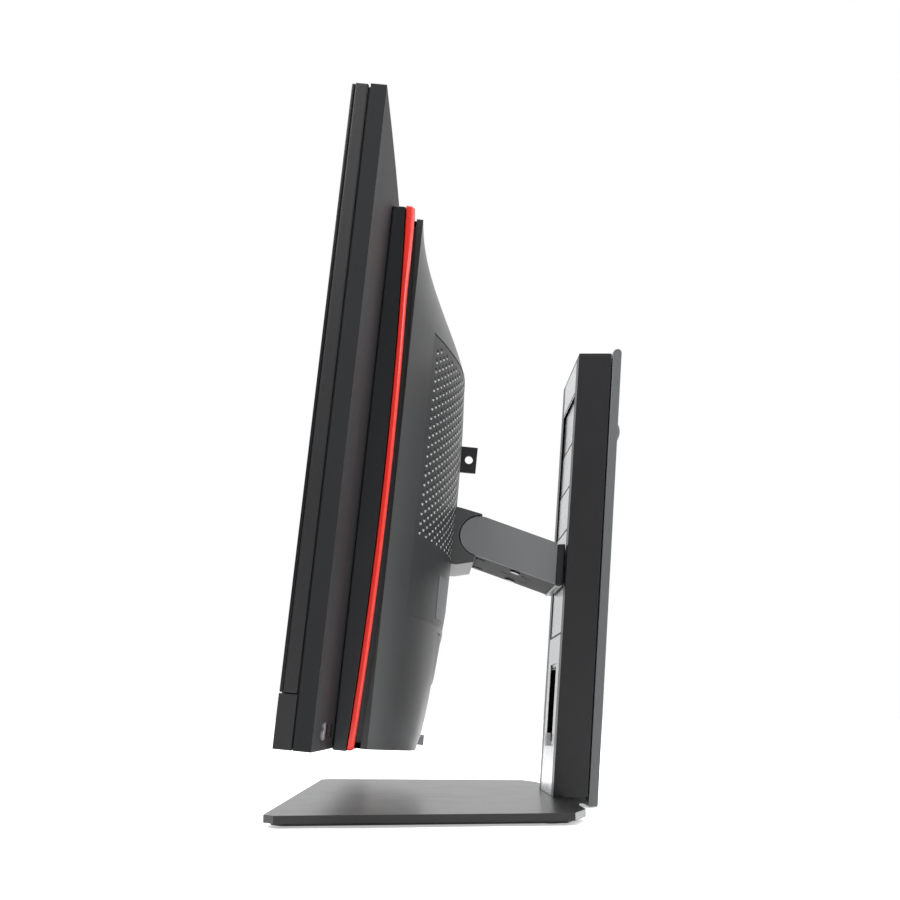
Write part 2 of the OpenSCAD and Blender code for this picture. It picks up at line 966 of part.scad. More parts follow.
module rear_cover() {
    skirt_near = 1.5;
    color("#47494c")
        difference() {
            union() {
                cover_solid(0, strip_w + cover_gap);
                intersection() {
                    block(-skirt_hw, skirt_hw, 1, cover_deep, skirt_low, skirt_high);
                    bowed(skirt_near, strip_w + cover_gap + eps);
                }
            }
            cover_solid(shell_wall, -9, cover_hw - skirt_hw + shell_wall);
            block(-vent_hw, vent_hw, 1, cover_deep + 9, vent_low, vent_high);
            block(-io_hw, io_hw, 52, cover_deep + 9, io_low, io_high);
            block(-bay_hw, bay_hw, bay_u0, bay_u1, cover_low - 9, io_low - 1);
        }
}

module vent_grille() {
    color("#3d3f42")
        difference() {
            intersection() {
                cover_solid(vent_recess, 0);
                block(-vent_hw + still_gap, vent_hw - still_gap, 1, cover_deep + 9,
                    vent_low + still_gap, vent_high - still_gap);
            }
            cover_solid(vent_recess + vent_t, -1);
            block(-block_hw - still_gap, block_hw + still_gap, 1, cover_deep + 9,
                block_low - still_gap, block_high + still_gap);
            block(-lug_t2 / 2 - still_gap, lug_t2 / 2 + still_gap, 1, cover_deep + 9,
                lug_low - still_gap, lug_high + still_gap);
        }
}

module io_cover() {
    color("#38393c")
        difference() {
            intersection() {
                cover_solid(0.4, 0);
                block(-io_hw + still_gap, io_hw - still_gap, 52, cover_deep + 9,
                    io_low + still_gap, io_high - still_gap);
            }
            cover_solid(0.4 + shell_wall, -1);
            for (x = [-60 : 12 : 60])
                block(x - 4, x + 4, 52, cover_deep + 9, 20, 23);
        }
}

module rear_tab() {
    color("#b4b6b8")
        difference() {
            block(-7, 7, cover_deep - 13, cover_deep - 9.4, cover_low, io_low - 0.5);
            cover_solid(0, 0);
        }
}

lug_t2 = 2;
lug_low = 216;
lug_high = 237;
lug_reach = 10.5;
lug_hole_r = 3.1;
lug_hole_u = cover_deep + 4.4;

module lock_lug() {
    v = (lug_low + lug_high) / 2;
    color("#2e2f31")
        difference() {
            union() {
                block(-lug_t2 / 2, lug_t2 / 2, chassis_back, cover_deep + lug_reach, lug_low, lug_high);
                block(-8, 8, chassis_back, chassis_back + 1.5, lug_low, lug_high);
            }
            translate([0, lug_hole_u, v])
                bar_x(lug_hole_r, -lug_t2, lug_t2);
        }
}

// ---- head: inside ----

module chassis_screw_places() {
    both_sides()
        for (v = chassis_screw_v)
            translate([chassis_screw_x, 0, v])
                children();
}

module chassis_plate() {
    color("#9a9da1")
        difference() {
            block(-chassis_hw, chassis_hw, chassis_u, chassis_back, chassis_low, chassis_high);
            chassis_screw_places()
                bar_y(screw_r, chassis_u - 1, chassis_back + 1);
        }
}

module chassis_screws() {
    color("silver")
        chassis_screw_places() {
            bar_y(screw_r - shaft_gap, back_u(chassis_screw_x) - 2, chassis_back + screw_head_t / 2);
            bar_y(screw_head_r, chassis_back, chassis_back + screw_head_t);
        }
}

module motherboard() {
    color("#1f4d2b") {
        difference() {
            block(board_x0, board_x1, board_u, board_back, board_v0, board_v1);
            for (x = [-post_x, post_x], v = [bracket_v0 + 7, bracket_v1 - 7])
                translate([x, 0, v])
                    bar_y(post_r + 1, board_u - 1, board_back + 1);
            block(-9, 9, board_u - 1, board_back + 1, lug_low - 1, board_v1 + 1);
        }
        for (x = [board_x0 + 6, board_x1 - 6], v = [board_v0 + 6, board_v1 - 6])
            translate([x, 0, v])
                bar_y(3, chassis_back, board_u + eps);
        block(cpu_x - 18, cpu_x + 18, board_back - eps, sink_u, cpu_v - 18, cpu_v + 18);
        // Row of rear sockets along the bottom edge
        for (i = [0 : 4])
            block(-36 + 22 * i, -20 + 22 * i, board_back - eps, board_back + 13,
                board_v0 - 2, board_v0 + 14);
    }
}

module memory_modules() {
    color("#2c6b3c")
        for (i = [0, 1])
            block(board_x1 - 44 + 22 * i, board_x1 - 41 + 22 * i, board_back, board_back + 22,
                board_v0 + 20, board_v0 + 88);
}

module heatsink() {
    color("#b3b6ba")
        difference() {
            union() {
                block(cpu_x - 12, cpu_x + sink_hw, sink_u, sink_u + sink_base,
                    cpu_v - sink_hw, cpu_v + sink_hw);
                for (i = [0 : 7])
                    block(cpu_x + sink_hw - 3 * i - 1.2, cpu_x + sink_hw - 3 * i,
                        sink_u + sink_base - eps, sink_u + sink_base + 2 * pipe_r + sink_fin_h,
                        cpu_v - sink_hw, cpu_v + sink_hw);
            }
            heat_pipe_rods(0.1);
        }
}

pipe_v = [200, 209];
pipe_x0 = fan_x + fan_hw;
pipe_x1 = cpu_x + 24;

module heat_pipe_rods(extra) {
    for (v = pipe_v)
        translate([0, pipe_u, v])
            bar_x(pipe_r + extra, pipe_x0 + 1, pipe_x1);
}

module heat_pipes() {
    color("#b8703a") {
        heat_pipe_rods(0);
        // Fin stack at the blower's outlet
        for (i = [0 : 8])
            block(pipe_x0 + 1 + 3 * i, pipe_x0 + 1.8 + 3 * i, pipe_u - 8, pipe_u + 8, 190, 222);
    }
}

fan_u = chassis_back;

module fan_housing() {
    color("#222326") {
        difference() {
            block(fan_x - fan_hw, fan_x + fan_hw, fan_u, fan_u + fan_t, fan_v - fan_hw, fan_v + fan_hw);
            translate([fan_x, 0, fan_v])
                bar_y(fan_r + 2, fan_u + fan_wall, fan_u + fan_t - fan_wall);
            translate([fan_x, 0, fan_v])
                bar_y(fan_hole_r, fan_u + fan_t / 2, fan_u + fan_t + 1);
            block(fan_x, fan_x + fan_hw + 1, fan_u + fan_wall, fan_u + fan_t - fan_wall,
                fan_v - 6, fan_v + 31);
        }
        translate([fan_x, 0, fan_v])
            bar_y(fan_shaft_r, fan_u + fan_wall - eps, fan_u + fan_t - 4.3);
    }
}

module fan_rotor() {
    u0 = fan_u + fan_wall + 0.8;
    u1 = fan_u + fan_t - fan_wall - 0.8;
    color("#333437")
        translate([fan_x, 0, fan_v])
            difference() {
                union() {
                    bar_y(fan_hub_r, u0, u1);
                    for (i = [0 : fan_blades - 1])
                        rotate([0, i * 360 / fan_blades, 0])
                            block(fan_hub_r - 1, fan_r, u0, u1, -0.6, 0.6);
                }
                bar_y(fan_shaft_r + shaft_gap, u0 - 1, u1 - 1.5);
            }
}

module storage_drive() {
    color("#7f8286")
        block(-48, 52, chassis_back, chassis_back + 9.5, 250, 320);
}

module power_supply() {
    color("#8f9296")
        block(-150, -62, chassis_back, chassis_back + 22, 24, 142);
}

base_plate();
base_underlay();
rubber_feet();
base_screws();
column_bracket();
column_channel();
column_top_cap();
column_rear_cover();
shutter_header();
lower_front_cover();
cable_clip();
guide_rails();
gas_spring_cylinder();
release_button();
shutter_upper(1);  // shutter_upper_1
shutter_upper(2);  // shutter_upper_2
shutter_upper(3);  // shutter_upper_3
shutter_lower(1);  // shutter_lower_1
shutter_lower(2);  // shutter_lower_2
shutter_lower(3);  // shutter_lower_3
shutter_carrier();
carriage();
glide_pads();
gas_spring_rod();
arm_collar();
arm_casting();
arm_shell();
arm_bottom_cover();
arm() arm_screws();
arm() hinge_pin();
arm() friction_washers();
head() hinge_bracket();
head() hinge_block();
head() screen_glass();
head() front_frame();
head() chin_bar();
head() lcd_panel();
head() backlight_tray();
head() camera_module();
head() speakers();
head() display_back();
head() side_ports();
head() power_button();
head() housing_band();
head() accent_strip();
head() rear_cover();
head() vent_grille();
head() io_cover();
head() rear_tab();
head() lock_lug();
head() chassis_plate();
head() chassis_screws();
head() motherboard();
head() memory_modules();
head() heatsink();
head() heat_pipes();
head() fan_housing();
head() fan_rotor();
head() storage_drive();
head() power_supply();
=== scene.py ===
"""Looks for the all in one computer: finishes, smooth shells and the perforated vent panel."""

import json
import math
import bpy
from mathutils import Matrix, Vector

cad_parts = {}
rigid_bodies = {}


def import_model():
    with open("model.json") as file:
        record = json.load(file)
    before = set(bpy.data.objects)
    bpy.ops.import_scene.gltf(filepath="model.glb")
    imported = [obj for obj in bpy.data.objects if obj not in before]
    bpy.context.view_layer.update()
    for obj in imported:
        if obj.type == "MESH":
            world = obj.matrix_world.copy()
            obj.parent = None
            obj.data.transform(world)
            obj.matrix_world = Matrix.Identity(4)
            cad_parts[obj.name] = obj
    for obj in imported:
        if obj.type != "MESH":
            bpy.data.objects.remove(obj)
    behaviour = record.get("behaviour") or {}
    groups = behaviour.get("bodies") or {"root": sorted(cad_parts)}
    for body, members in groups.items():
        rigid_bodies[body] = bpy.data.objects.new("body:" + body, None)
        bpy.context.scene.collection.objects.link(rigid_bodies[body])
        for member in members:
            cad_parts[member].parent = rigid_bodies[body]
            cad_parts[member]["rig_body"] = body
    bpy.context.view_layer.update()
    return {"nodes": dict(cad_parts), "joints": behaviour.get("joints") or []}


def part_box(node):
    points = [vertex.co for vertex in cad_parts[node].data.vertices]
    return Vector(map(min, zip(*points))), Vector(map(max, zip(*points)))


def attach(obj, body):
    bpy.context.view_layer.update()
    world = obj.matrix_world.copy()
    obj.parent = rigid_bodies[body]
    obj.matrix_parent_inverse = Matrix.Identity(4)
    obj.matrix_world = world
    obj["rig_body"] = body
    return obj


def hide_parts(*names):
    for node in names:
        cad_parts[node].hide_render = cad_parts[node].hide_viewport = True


bl_info = {
    "name": "All in One Computer",
    "version": (1, 0, 0),
    "blender": (4, 5, 0),
    "location": "View3D > Sidebar > Computer",
    "description": "Dresses the computer's frame in smooth shells and moulded, painted and metal finishes",
    "category": "Object",
}

import bmesh
import bpy
import numpy as np
from bpy.props import FloatProperty, FloatVectorProperty, IntProperty, PointerProperty
from mathutils import Euler, Vector

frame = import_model()
MM = 0.001
SOFT_EDGE = math.radians(28)
HARD_EDGE = math.radians(50)
JOINTS = {joint["name"]: joint for joint in frame["joints"]}


# ---- places taken from the frame ----


class Tilted:
    """A flat frame turned about x: u points out of the face at its back, v up the face."""

    def __init__(self, origin, back):
        self.origin = np.array(origin, float)
        self.u = np.array(back, float) / np.linalg.norm(back)
        self.v = np.cross((1.0, 0.0, 0.0), self.u)
        self.lean = math.atan2(self.v[1], self.v[2])

    def place(self, x, u, v):
        """World points in metres for arrays of x, u and v in millimetres: origin + x + u back + v up."""
        x, u, v = np.broadcast_arrays(x, u, v)
        across = np.array((1.0, 0.0, 0.0))
        return self.origin + MM * (x[..., None] * across + u[..., None] * self.u + v[..., None] * self.v)


def head_frame():
    """The display's frame, with its origin at the middle of the chin bar's front bottom edge. The
    chin bar's depth and height are worked out from its box and its lean."""
    back = -np.array(JOINTS["power_button_press"]["axis"])
    low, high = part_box("chin_bar")
    lean = math.atan2(-back[2], back[1])
    size = np.linalg.solve(
        [[math.cos(lean), math.sin(lean)], [math.sin(lean), math.cos(lean)]],
        [high.y - low.y, high.z - low.z],
    )
    return Tilted((0.0, low.y, low.z + size[0] * math.sin(lean)), back)


def column_frame():
    """The column's frame, with its origin at the middle of its front face where it meets the base."""
    back = -np.array(JOINTS["release_button_press"]["axis"])
    low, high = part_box("column_channel")
    return Tilted((0.0, low.y, low.z), back)


HEAD = head_frame()
COLUMN = column_frame()


def across(node):
    """Half the width of a CAD node, in millimetres."""
    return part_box(node)[1].x / MM


def span(node, tilted, axis):
    """The least and greatest place of a CAD node along an axis of a tilted frame, in millimetres."""
    mesh = frame["nodes"][node].data
    co = np.empty(len(mesh.vertices) * 3)
    mesh.vertices.foreach_get("co", co)
    along = (co.reshape(-1, 3) - tilted.origin) @ axis / MM
    return float(along.min()), float(along.max())


def span_up(node):
    """The lowest and highest place of a CAD node along the display's face, in millimetres."""
    return span(node, HEAD, HEAD.v)


# ---- settings ----


def size_mm(name, description, default, least, most):
    """A size in millimetres, kept between two values."""
    return FloatProperty(name=name, description=description + ", mm", default=default, min=least, max=most)


def colour(name, description, default):
    """A linear colour of a finish."""
    return FloatVectorProperty(name=name, description=description, subtype="COLOR", size=3, default=default)


class HousingSettings(bpy.types.PropertyGroup):
    """Sizes of the rear shells and their perforated panel."""

    rear_deep: size_mm("Rear depth", "Deepest point of the rear shell behind the screen", 86.0, 70.0, 110.0)
    side_drop: size_mm("Side drop", "How much shallower the shell is at its sides", 43.0, 20.0, 60.0)
    ridge: size_mm("Ridge softness", "Width over which two faces of the shell blend", 5.0, 0.5, 20.0)
    wall: size_mm("Wall", "Wall of the rear shell", 2.2, 1.0, 4.0)
    bow_mid: size_mm("Strip depth", "Depth of the strip's front edge at middle height", 35.8, 25.0, 45.0)
    bow_drop: size_mm("Strip bow", "How much shallower the strip is at its ends", 4.6, 0.0, 8.0)
    strip_wide: size_mm("Strip width", "Width of the strip at middle height", 3.9, 2.0, 8.0)
    vent_recess: size_mm("Panel recess", "Depth of the vent panel below the shell", 0.5, 0.2, 2.0)
    vent_hole: size_mm("Hole radius", "Radius of a perforation", 1.6, 0.5, 2.5)
    vent_columns: IntProperty(
        name="Columns", description="Columns of cells across the panel", default=48, min=12, max=80
    )
    vent_rows: IntProperty(
        name="Half rows", description="Half rows of cells up the panel", default=58, min=12, max=90
    )


class FinishSettings(bpy.types.PropertyGroup):
    """Colours of the visible finishes."""

    frame_black: colour("Frame", "Front frame and chin bar", (0.010, 0.010, 0.0108))
    display_grey: colour("Display back", "Back of the display", (0.0085, 0.0088, 0.0095))
    band_black: colour("Band", "Band of the housing", (0.012, 0.0125, 0.014))
    red: colour("Strip", "Accent strip", (0.7, 0.022, 0.014))
    shell_grey: colour("Rear shell", "Rear shell of the housing", (0.0165, 0.017, 0.018))
    arm_grey: colour("Arm", "Arm covers", (0.14, 0.142, 0.146))
    column_black: colour("Column", "Column channel and cap", (0.011, 0.011, 0.012))
    shutter_grey: colour("Shutter", "Plates on the column's front", (0.62, 0.63, 0.645))
    cover_grey: colour("Column rear", "Rear cover of the column", (0.082, 0.085, 0.087))
    base_black: colour("Base", "Base plate", (0.009, 0.009, 0.01))


class StageSettings(bpy.types.PropertyGroup):
    """The camera, the floor and the lights."""

    camera_far: FloatProperty(
        name="Distance", description="Camera's distance from the middle plane",
        default=0.8575, unit="LENGTH",
    )
    camera_high: FloatProperty(
        name="Height", description="Camera's height above the floor",
        default=0.0627, unit="LENGTH",
    )
    camera_side: FloatProperty(
        name="Offset", description="Camera's place along the object's depth",
        default=-0.0317, unit="LENGTH",
    )
    pitch: FloatProperty(
        name="Pitch", description="How far the camera looks up",
        default=math.radians(9.11), subtype="ANGLE",
    )
    lens: FloatProperty(name="Lens", description="Focal length on a 36 mm sensor, mm", default=44.55)
    shift_right: FloatProperty(
        name="Shift across", description="Lens shift across, in picture widths",
        default=0.0307,
    )
    shift_up: FloatProperty(name="Shift up", description="Lens shift up, in picture widths", default=0.10)


def settings():
    """The scene's three groups of settings."""
    scene = bpy.context.scene
    return scene.housing_settings, scene.finish_settings, scene.stage_settings


# ---- shader maths ----


def _maths(operation, swapped=False):
    """An operator of Field, which adds one Math node."""

    def act(self, other):
        first, second = (other, self) if swapped else (self, other)
        return self.finish.node("ShaderNodeMath", {"operation": operation}, {0: first, 1: second})

    return act


class Field:
    """A value that varies over a surface. Arithmetic on it adds Math nodes to its finish."""

    def __init__(self, finish, socket):
        self.finish = finish
        self.socket = socket

    __add__, __radd__ = _maths("ADD"), _maths("ADD", True)
    __sub__, __rsub__ = _maths("SUBTRACT"), _maths("SUBTRACT", True)
    __mul__, __rmul__ = _maths("MULTIPLY"), _maths("MULTIPLY", True)
    __gt__, __lt__ = _maths("GREATER_THAN"), _maths("LESS_THAN")

    def __abs__(self):
        return self.finish.node("ShaderNodeMath", {"operation": "ABSOLUTE"}, {0: self})


class Finish:
    """A material built from expressions on the piece's own coordinates."""

    def __init__(self, name, **constants):
        self.material = bpy.data.materials.new(name)
        self.material.use_nodes = True
        self.tree = self.material.node_tree
        self.shader = self.tree.nodes["Principled BSDF"]
        for label, value in constants.items():
            self.shader.inputs[label.replace("_", " ")].default_value = value
        self.object_xyz = self.node("ShaderNodeTexCoord", out="Object")

    def node(self, kind, settings=None, inputs=None, out=0):
        """Adds one node: its settings first, then the values or links of its sockets."""
        made = self.tree.nodes.new(kind)
        for label, value in (settings or {}).items():
            setattr(made, label, value)
        for label, value in (inputs or {}).items():
            if isinstance(value, Field):
                self.tree.links.new(value.socket, made.inputs[label])
            else:
                made.inputs[label].default_value = value
        return Field(self, made.outputs[out])

    def feed(self, label, value):
        """Links a field to a socket of the shader."""
        self.tree.links.new(value.socket, self.shader.inputs[label])

    def turned(self, stretch=(1, 1, 1), lean=0.0):
        """The object's coordinates, turned back by a lean about x and then stretched."""
        turn = self.node(
            "ShaderNodeMapping", None, {"Vector": self.object_xyz, "Rotation": (lean, 0.0, 0.0)}
        )
        return self.node("ShaderNodeMapping", None, {"Vector": turn, "Scale": stretch})

    def noise(self, size, stretch=(1, 1, 1), lean=0.0, detail=2.0):
        """Smooth random values from 0 to 1, with lumps of a size in metres."""
        return self.node(
            "ShaderNodeTexNoise",
            None,
            {"Vector": self.turned(stretch, lean), "Scale": 1 / size, "Detail": detail},
            out="Fac",
        )

    def cells(self, size, lean=0.0):
        """Distance to the nearest of scattered points, for pebbled grain."""
        turned = self.turned(lean=lean)
        return self.node("ShaderNodeTexVoronoi", None, {"Vector": turned, "Scale": 1 / size}, out="Distance")

    def blend(self, share, low, high):
        """A colour between two colours."""
        return self.node(
            "ShaderNodeMix",
            {"data_type": "RGBA"},
            {"Factor": share, "A": (*low, 1.0), "B": (*high, 1.0)},
            out=2,
        )

    def band(self, value, low, high):
        """0 below low, 1 above high and a straight slope between them."""
        ends = {"Value": value, "From Min": low, "From Max": high}
        return self.node("ShaderNodeMapRange", {"clamp": True}, ends)

    def bump(self, height, distance):
        """Raises the surface by a height field, to a distance in metres."""
        rise = {"Height": height, "Distance": distance}
        self.feed("Normal", self.node("ShaderNodeBump", None, rise, out="Normal"))


def lighter(colour, share):
    """A colour scaled towards white or black."""
    return tuple(min(1.0, channel * share) for channel in colour)


def moulded(name, colour, rough=0.42, grain=0.0007, depth=0.00004, coat=0.0, lean=None, shine=0.4):
    """Moulded plastic: pebbled spark grain, faint flow marks, and handling marks in the gloss."""
    lean = HEAD.lean if lean is None else lean
    finish = Finish(name, Coat_Weight=coat, Coat_Roughness=0.25, Specular_IOR_Level=shine)
    flow = finish.noise(0.06, lean=lean, detail=3.0)
    speck = finish.noise(0.0012, detail=1.0)
    mottle = flow * 0.7 + speck * 0.3
    finish.feed("Base Color", finish.blend(mottle, lighter(colour, 0.92), lighter(colour, 1.1)))
    marks = finish.band(finish.noise(0.018, stretch=(1, 1, 0.45), lean=lean, detail=4.0), 0.45, 0.75)
    finish.feed("Roughness", marks * 0.03 + speck * 0.05 + (rough - 0.04))
    finish.bump(finish.cells(grain, lean) * 0.7 + speck * 0.3, depth)
    return finish.material


def painted(name, colour, rough=0.38, coat=0.25):
    """Powder paint on metal: orange peel, fine sparkle and a little dust in the gloss."""
    finish = Finish(name, Coat_Weight=coat, Coat_Roughness=0.18, Specular_IOR_Level=0.3)
    peel = finish.noise(0.0016, detail=2.0)
    dust = finish.band(finish.noise(0.03, detail=5.0), 0.5, 0.8)
    finish.feed("Base Color", finish.blend(dust * 0.3 + peel * 0.3, colour, lighter(colour, 1.4)))
    finish.feed("Roughness", dust * 0.03 + peel * 0.08 + (rough - 0.04))
    finish.bump(peel, 0.00006)
    return finish.material


def brushed(name, colour, rough=0.32, along=(1, 1, 0.02), lean=0.0, metallic=1.0):
    """Ground or brushed metal: long fine lines along one direction, over slow cloudy changes."""
    finish = Finish(name, Metallic=metallic, Anisotropic=0.3)
    lines = finish.noise(0.00035, stretch=along, lean=lean, detail=3.0)
    cloud = finish.noise(0.04, lean=lean, detail=2.0)
    streaks = lines * 0.6 + cloud * 0.4
    finish.feed("Base Color", finish.blend(streaks, lighter(colour, 0.82), lighter(colour, 1.15)))
    finish.feed("Roughness", lines * 0.12 + cloud * 0.06 + (rough - 0.09))
    finish.bump(lines, 0.00001)
    return finish.material


def cast(name, colour):
    """Cast alloy: grainy skin with shallow pits."""
    finish = Finish(name, Metallic=0.9)
    grain = finish.noise(0.001, detail=4.0)
    pits = finish.cells(0.0025)
    finish.feed("Base Color", finish.blend(grain, lighter(colour, 0.75), lighter(colour, 1.2)))
    finish.feed("Roughness", grain * 0.2 + 0.42)
    finish.bump(grain * 0.6 + pits * 0.4, 0.00015)
    return finish.material


def screen_glass(name, half_width, low, high):
    """Black glass: the picture area shows a little lighter and softer than the printed border."""
    finish = Finish(name, Coat_Weight=0.12, Coat_Roughness=0.2, Specular_IOR_Level=0.3)
    turn = finish.turned(lean=HEAD.lean)
    place = finish.node("ShaderNodeSeparateXYZ", None, {"Vector": turn}, out="X")
    parts = place.socket.node.outputs
    x, z = Field(finish, parts["X"]), Field(finish, parts["Z"])
    middle, half = (low + high) / 2, (high - low) / 2
    inside = (abs(x) < half_width) * (abs(z - middle) < half)
    smear = finish.band(finish.noise(0.05, stretch=(1, 1, 0.5), detail=4.0), 0.55, 0.85)
    dots = finish.noise(0.0004, detail=0.0)
    picture = inside * (0.75 + dots * 0.25)
    finish.feed("Base Color", finish.blend(picture, (0.004, 0.004, 0.0045), (0.011, 0.0115, 0.013)))
    finish.feed("Roughness", inside * 0.05 + smear * 0.04 + 0.24)
    return finish.material


def circuit_board(name, colour):
    """Lacquered board: straight copper tracks under the lacquer and a fine weave."""
    finish = Finish(name, Coat_Weight=0.6, Coat_Roughness=0.2)
    tracks = finish.node(
        "ShaderNodeTexBrick",
        None,
        {"Vector": finish.turned((1, 1, 1), HEAD.lean - math.pi / 2), "Scale": 160.0, "Mortar Size": 0.03},
        out="Fac",
    )
    weave = finish.noise(0.0008, detail=1.0)
    finish.feed("Base Color", finish.blend(tracks * 0.6 + weave * 0.2, colour, lighter(colour, 2.2)))
    finish.feed("Roughness", 0.35 + tracks * 0.15)
    finish.bump(tracks, 0.00003)
    return finish.material


# ---- mesh work ----


def finish_mesh(piece, angle):
    """Shades a mesh smooth, with edges over an angle kept sharp."""
    piece.data.shade_smooth()
    piece.data.set_sharp_from_angle(angle=angle)


def new_piece(name, points, faces, body, material, stands_for=(), angle=math.radians(32)):
    """Puts arrays into a mesh object, merges what coincides and rides it on a body."""
    mesh = bpy.data.meshes.new(name)
    mesh.from_pydata(points.tolist(), [], faces)
    work = bmesh.new()
    work.from_mesh(mesh)
    bmesh.ops.remove_doubles(work, verts=work.verts, dist=2e-6)
    bmesh.ops.dissolve_degenerate(work, edges=work.edges, dist=1e-6)
    work.to_mesh(mesh)
    work.free()
    mesh.materials.append(material)
    piece = bpy.data.objects.new(name, mesh)
    bpy.context.scene.collection.objects.link(piece)
    finish_mesh(piece, angle)
    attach(piece, body)
    if stands_for:
        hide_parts(*stands_for)
    return piece


def eased(piece, width, segments=1):
    """Rounds a new piece's hard edges to a width in millimetres."""
    bevel = piece.modifiers.new("edges", "BEVEL")
    bevel.width = width * MM
    bevel.segments = segments
    bevel.limit_method = "ANGLE"
    bevel.angle_limit = HARD_EDGE


def thick_sheet(front, back, faces):
    """A closed sheet: the front faces, the same faces reversed on the back points, and a wall along
    every edge that only one front face uses."""
    count = len(front)
    edges = np.concatenate([np.stack([f, np.roll(f, -1, axis=1)], axis=-1).reshape(-1, 2) for f in faces])
    key = np.sort(edges, axis=1)
    key = key[:, 0] * count + key[:, 1]
    _, where, uses = np.unique(key, return_index=True, return_counts=True)
    rim = edges[where[uses == 1]]
    walls = np.stack([rim[:, 1], rim[:, 0], rim[:, 0] + count, rim[:, 1] + count], axis=1)
    made = []
    for f in faces:
        made += f.tolist()
        made += (f[:, ::-1] + count).tolist()
    made += walls.tolist()
    return np.concatenate([front, back]), made


def grid_quads(columns, keep):
    """Quads of a grid whose points are numbered row by row, facing out of the back."""
    j, i = np.nonzero(keep)
    low = j * columns + i
    return np.stack([low, low + columns, low + columns + 1, low + 1], axis=1)


def whole_grid(columns, rows):
    """Every quad of a grid."""
    return grid_quads(columns, np.ones((rows - 1, columns - 1), bool))


def block(tilted, half, columns, low, high, rows, outer, inner):
    """A closed block: flat grids over x and height at an outer and an inner depth, and their walls."""
    grid = np.meshgrid(np.linspace(-half, half, columns), np.linspace(low, high, rows))
    x, v = (a.ravel() for a in grid)
    quads = whole_grid(columns, rows)
    return thick_sheet(tilted.place(x, outer, v), tilted.place(x, inner, v), [quads])


def swept(path, normal, profile):
    """A closed tube: each profile point (n, u) sits n along the path's outward normal and u back,
    and the last ring joins the first. Path and normal are arrays of (x, v)."""
    x = path[:, None, 0] + normal[:, None, 0] * profile[..., 0]
    v = path[:, None, 1] + normal[:, None, 1] * profile[..., 0]
    u = profile[..., 1]
    rings, around = x.shape
    points = HEAD.place(x, u, v).reshape(-1, 3)
    r, a = np.meshgrid(np.arange(rings), np.arange(around), indexing="ij")
    r2, a2 = (r + 1) % rings, (a + 1) % around
    quads = np.stack([r * around + a, r * around + a2, r2 * around + a2, r2 * around + a], axis=-1)
    return points, quads.reshape(-1, 4).tolist()


def rounded_rectangle(half_wide, low, high, radius, per_side=24, per_corner=6):
    """Points and outward normals round a rectangle with round corners, counted anticlockwise."""
    points, normals = [], []
    corners = ((1, high, 0.0), (-1, high, 0.5), (-1, low, 1.0), (1, low, 1.5))
    for side, edge, start in corners:
        angle = (start + np.linspace(0, 0.5, per_corner)) * math.pi
        normal = np.stack([np.cos(angle), np.sin(angle)], axis=1)
        inward = radius if edge == low else -radius
        centre = np.array([side * (half_wide - radius), edge + inward])
        points.append(centre + radius * normal)
        normals.append(normal)
    loop_p, loop_n = [], []
    for k in range(len(points)):
        following = points[(k + 1) % len(points)][0]
        share = np.linspace(0, 1, per_side)[1:-1, None]
        loop_p += [points[k], points[k][-1] * (1 - share) + following * share]
        loop_n += [normals[k], np.repeat(normals[k][-1:], per_side - 2, axis=0)]
    return np.concatenate(loop_p), np.concatenate(loop_n)


def softened(node, material, radius, segments=2):
    """A copy of a CAD node with merged, flat faces and rounded edges, which stands for the node."""
    source = frame["nodes"][node]
    mesh = source.data.copy()
    work = bmesh.new()
    work.from_mesh(mesh)
    bmesh.ops.remove_doubles(work, verts=work.verts, dist=1e-5)
    bmesh.ops.dissolve_limit(
        work, angle_limit=math.radians(0.3), verts=work.verts, edges=work.edges, delimit={"NORMAL"}
    )
    work.to_mesh(mesh)
    work.free()
    mesh.materials.clear()
    mesh.materials.append(material)
    piece = bpy.data.objects.new(node + "_soft", mesh)
    bpy.context.scene.collection.objects.link(piece)
    finish_mesh(piece, SOFT_EDGE)
    bevel = piece.modifiers.new("edges", "BEVEL")
    bevel.width = radius * MM
    bevel.segments = segments
    bevel.limit_method = "ANGLE"
    bevel.angle_limit = SOFT_EDGE
    bevel.use_clamp_overlap = True
    bevel.harden_normals = True
    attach(piece, source["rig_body"])
    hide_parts(node)
    return piece


def dress(material, *nodes):
    """Gives CAD nodes a finish, with their shape left as it is."""
    for node in nodes:
        data = frame["nodes"][node].data
        data.materials.clear()
        data.materials.append(material)


# ---- the rear shell's surface ----


def soft_least(first, second, width):
    """The lesser of two values, rounded where they cross over a width."""
    share = np.clip(0.5 + 0.5 * (second - first) / width, 0, 1)
    return second * (1 - share) + first * share - width * share * (1 - share)


def strip_front(v):
    """Depth of the strip's front edge: a parabola that is deepest at middle height."""
    housing = settings()[0]
    low, high = span_up("housing_band")
    return housing.bow_mid - housing.bow_drop * ((v - (low + high) / 2) / ((high - low) / 2)) ** 2


# Side view of the rear shell below its brow: height, and depth against its deepest point. All places
# here are in mm up the display's face: the shell's lower edge, how far its rim lines stand in, and
# the window for the cable cover
SIDE_V = np.array([3, 11, 50, 87, 103, 144, 191, 238, 274], float)
SIDE_U = np.array([-14.4, -12, -6.2, -3, -1.0, 0, 0.8, -1, -4], float)
BROW = 274.0
SHELL_LOW = 1.2
RIM_INSET = 3.2
FLAP_WINDOW = (11.0, 83.0)


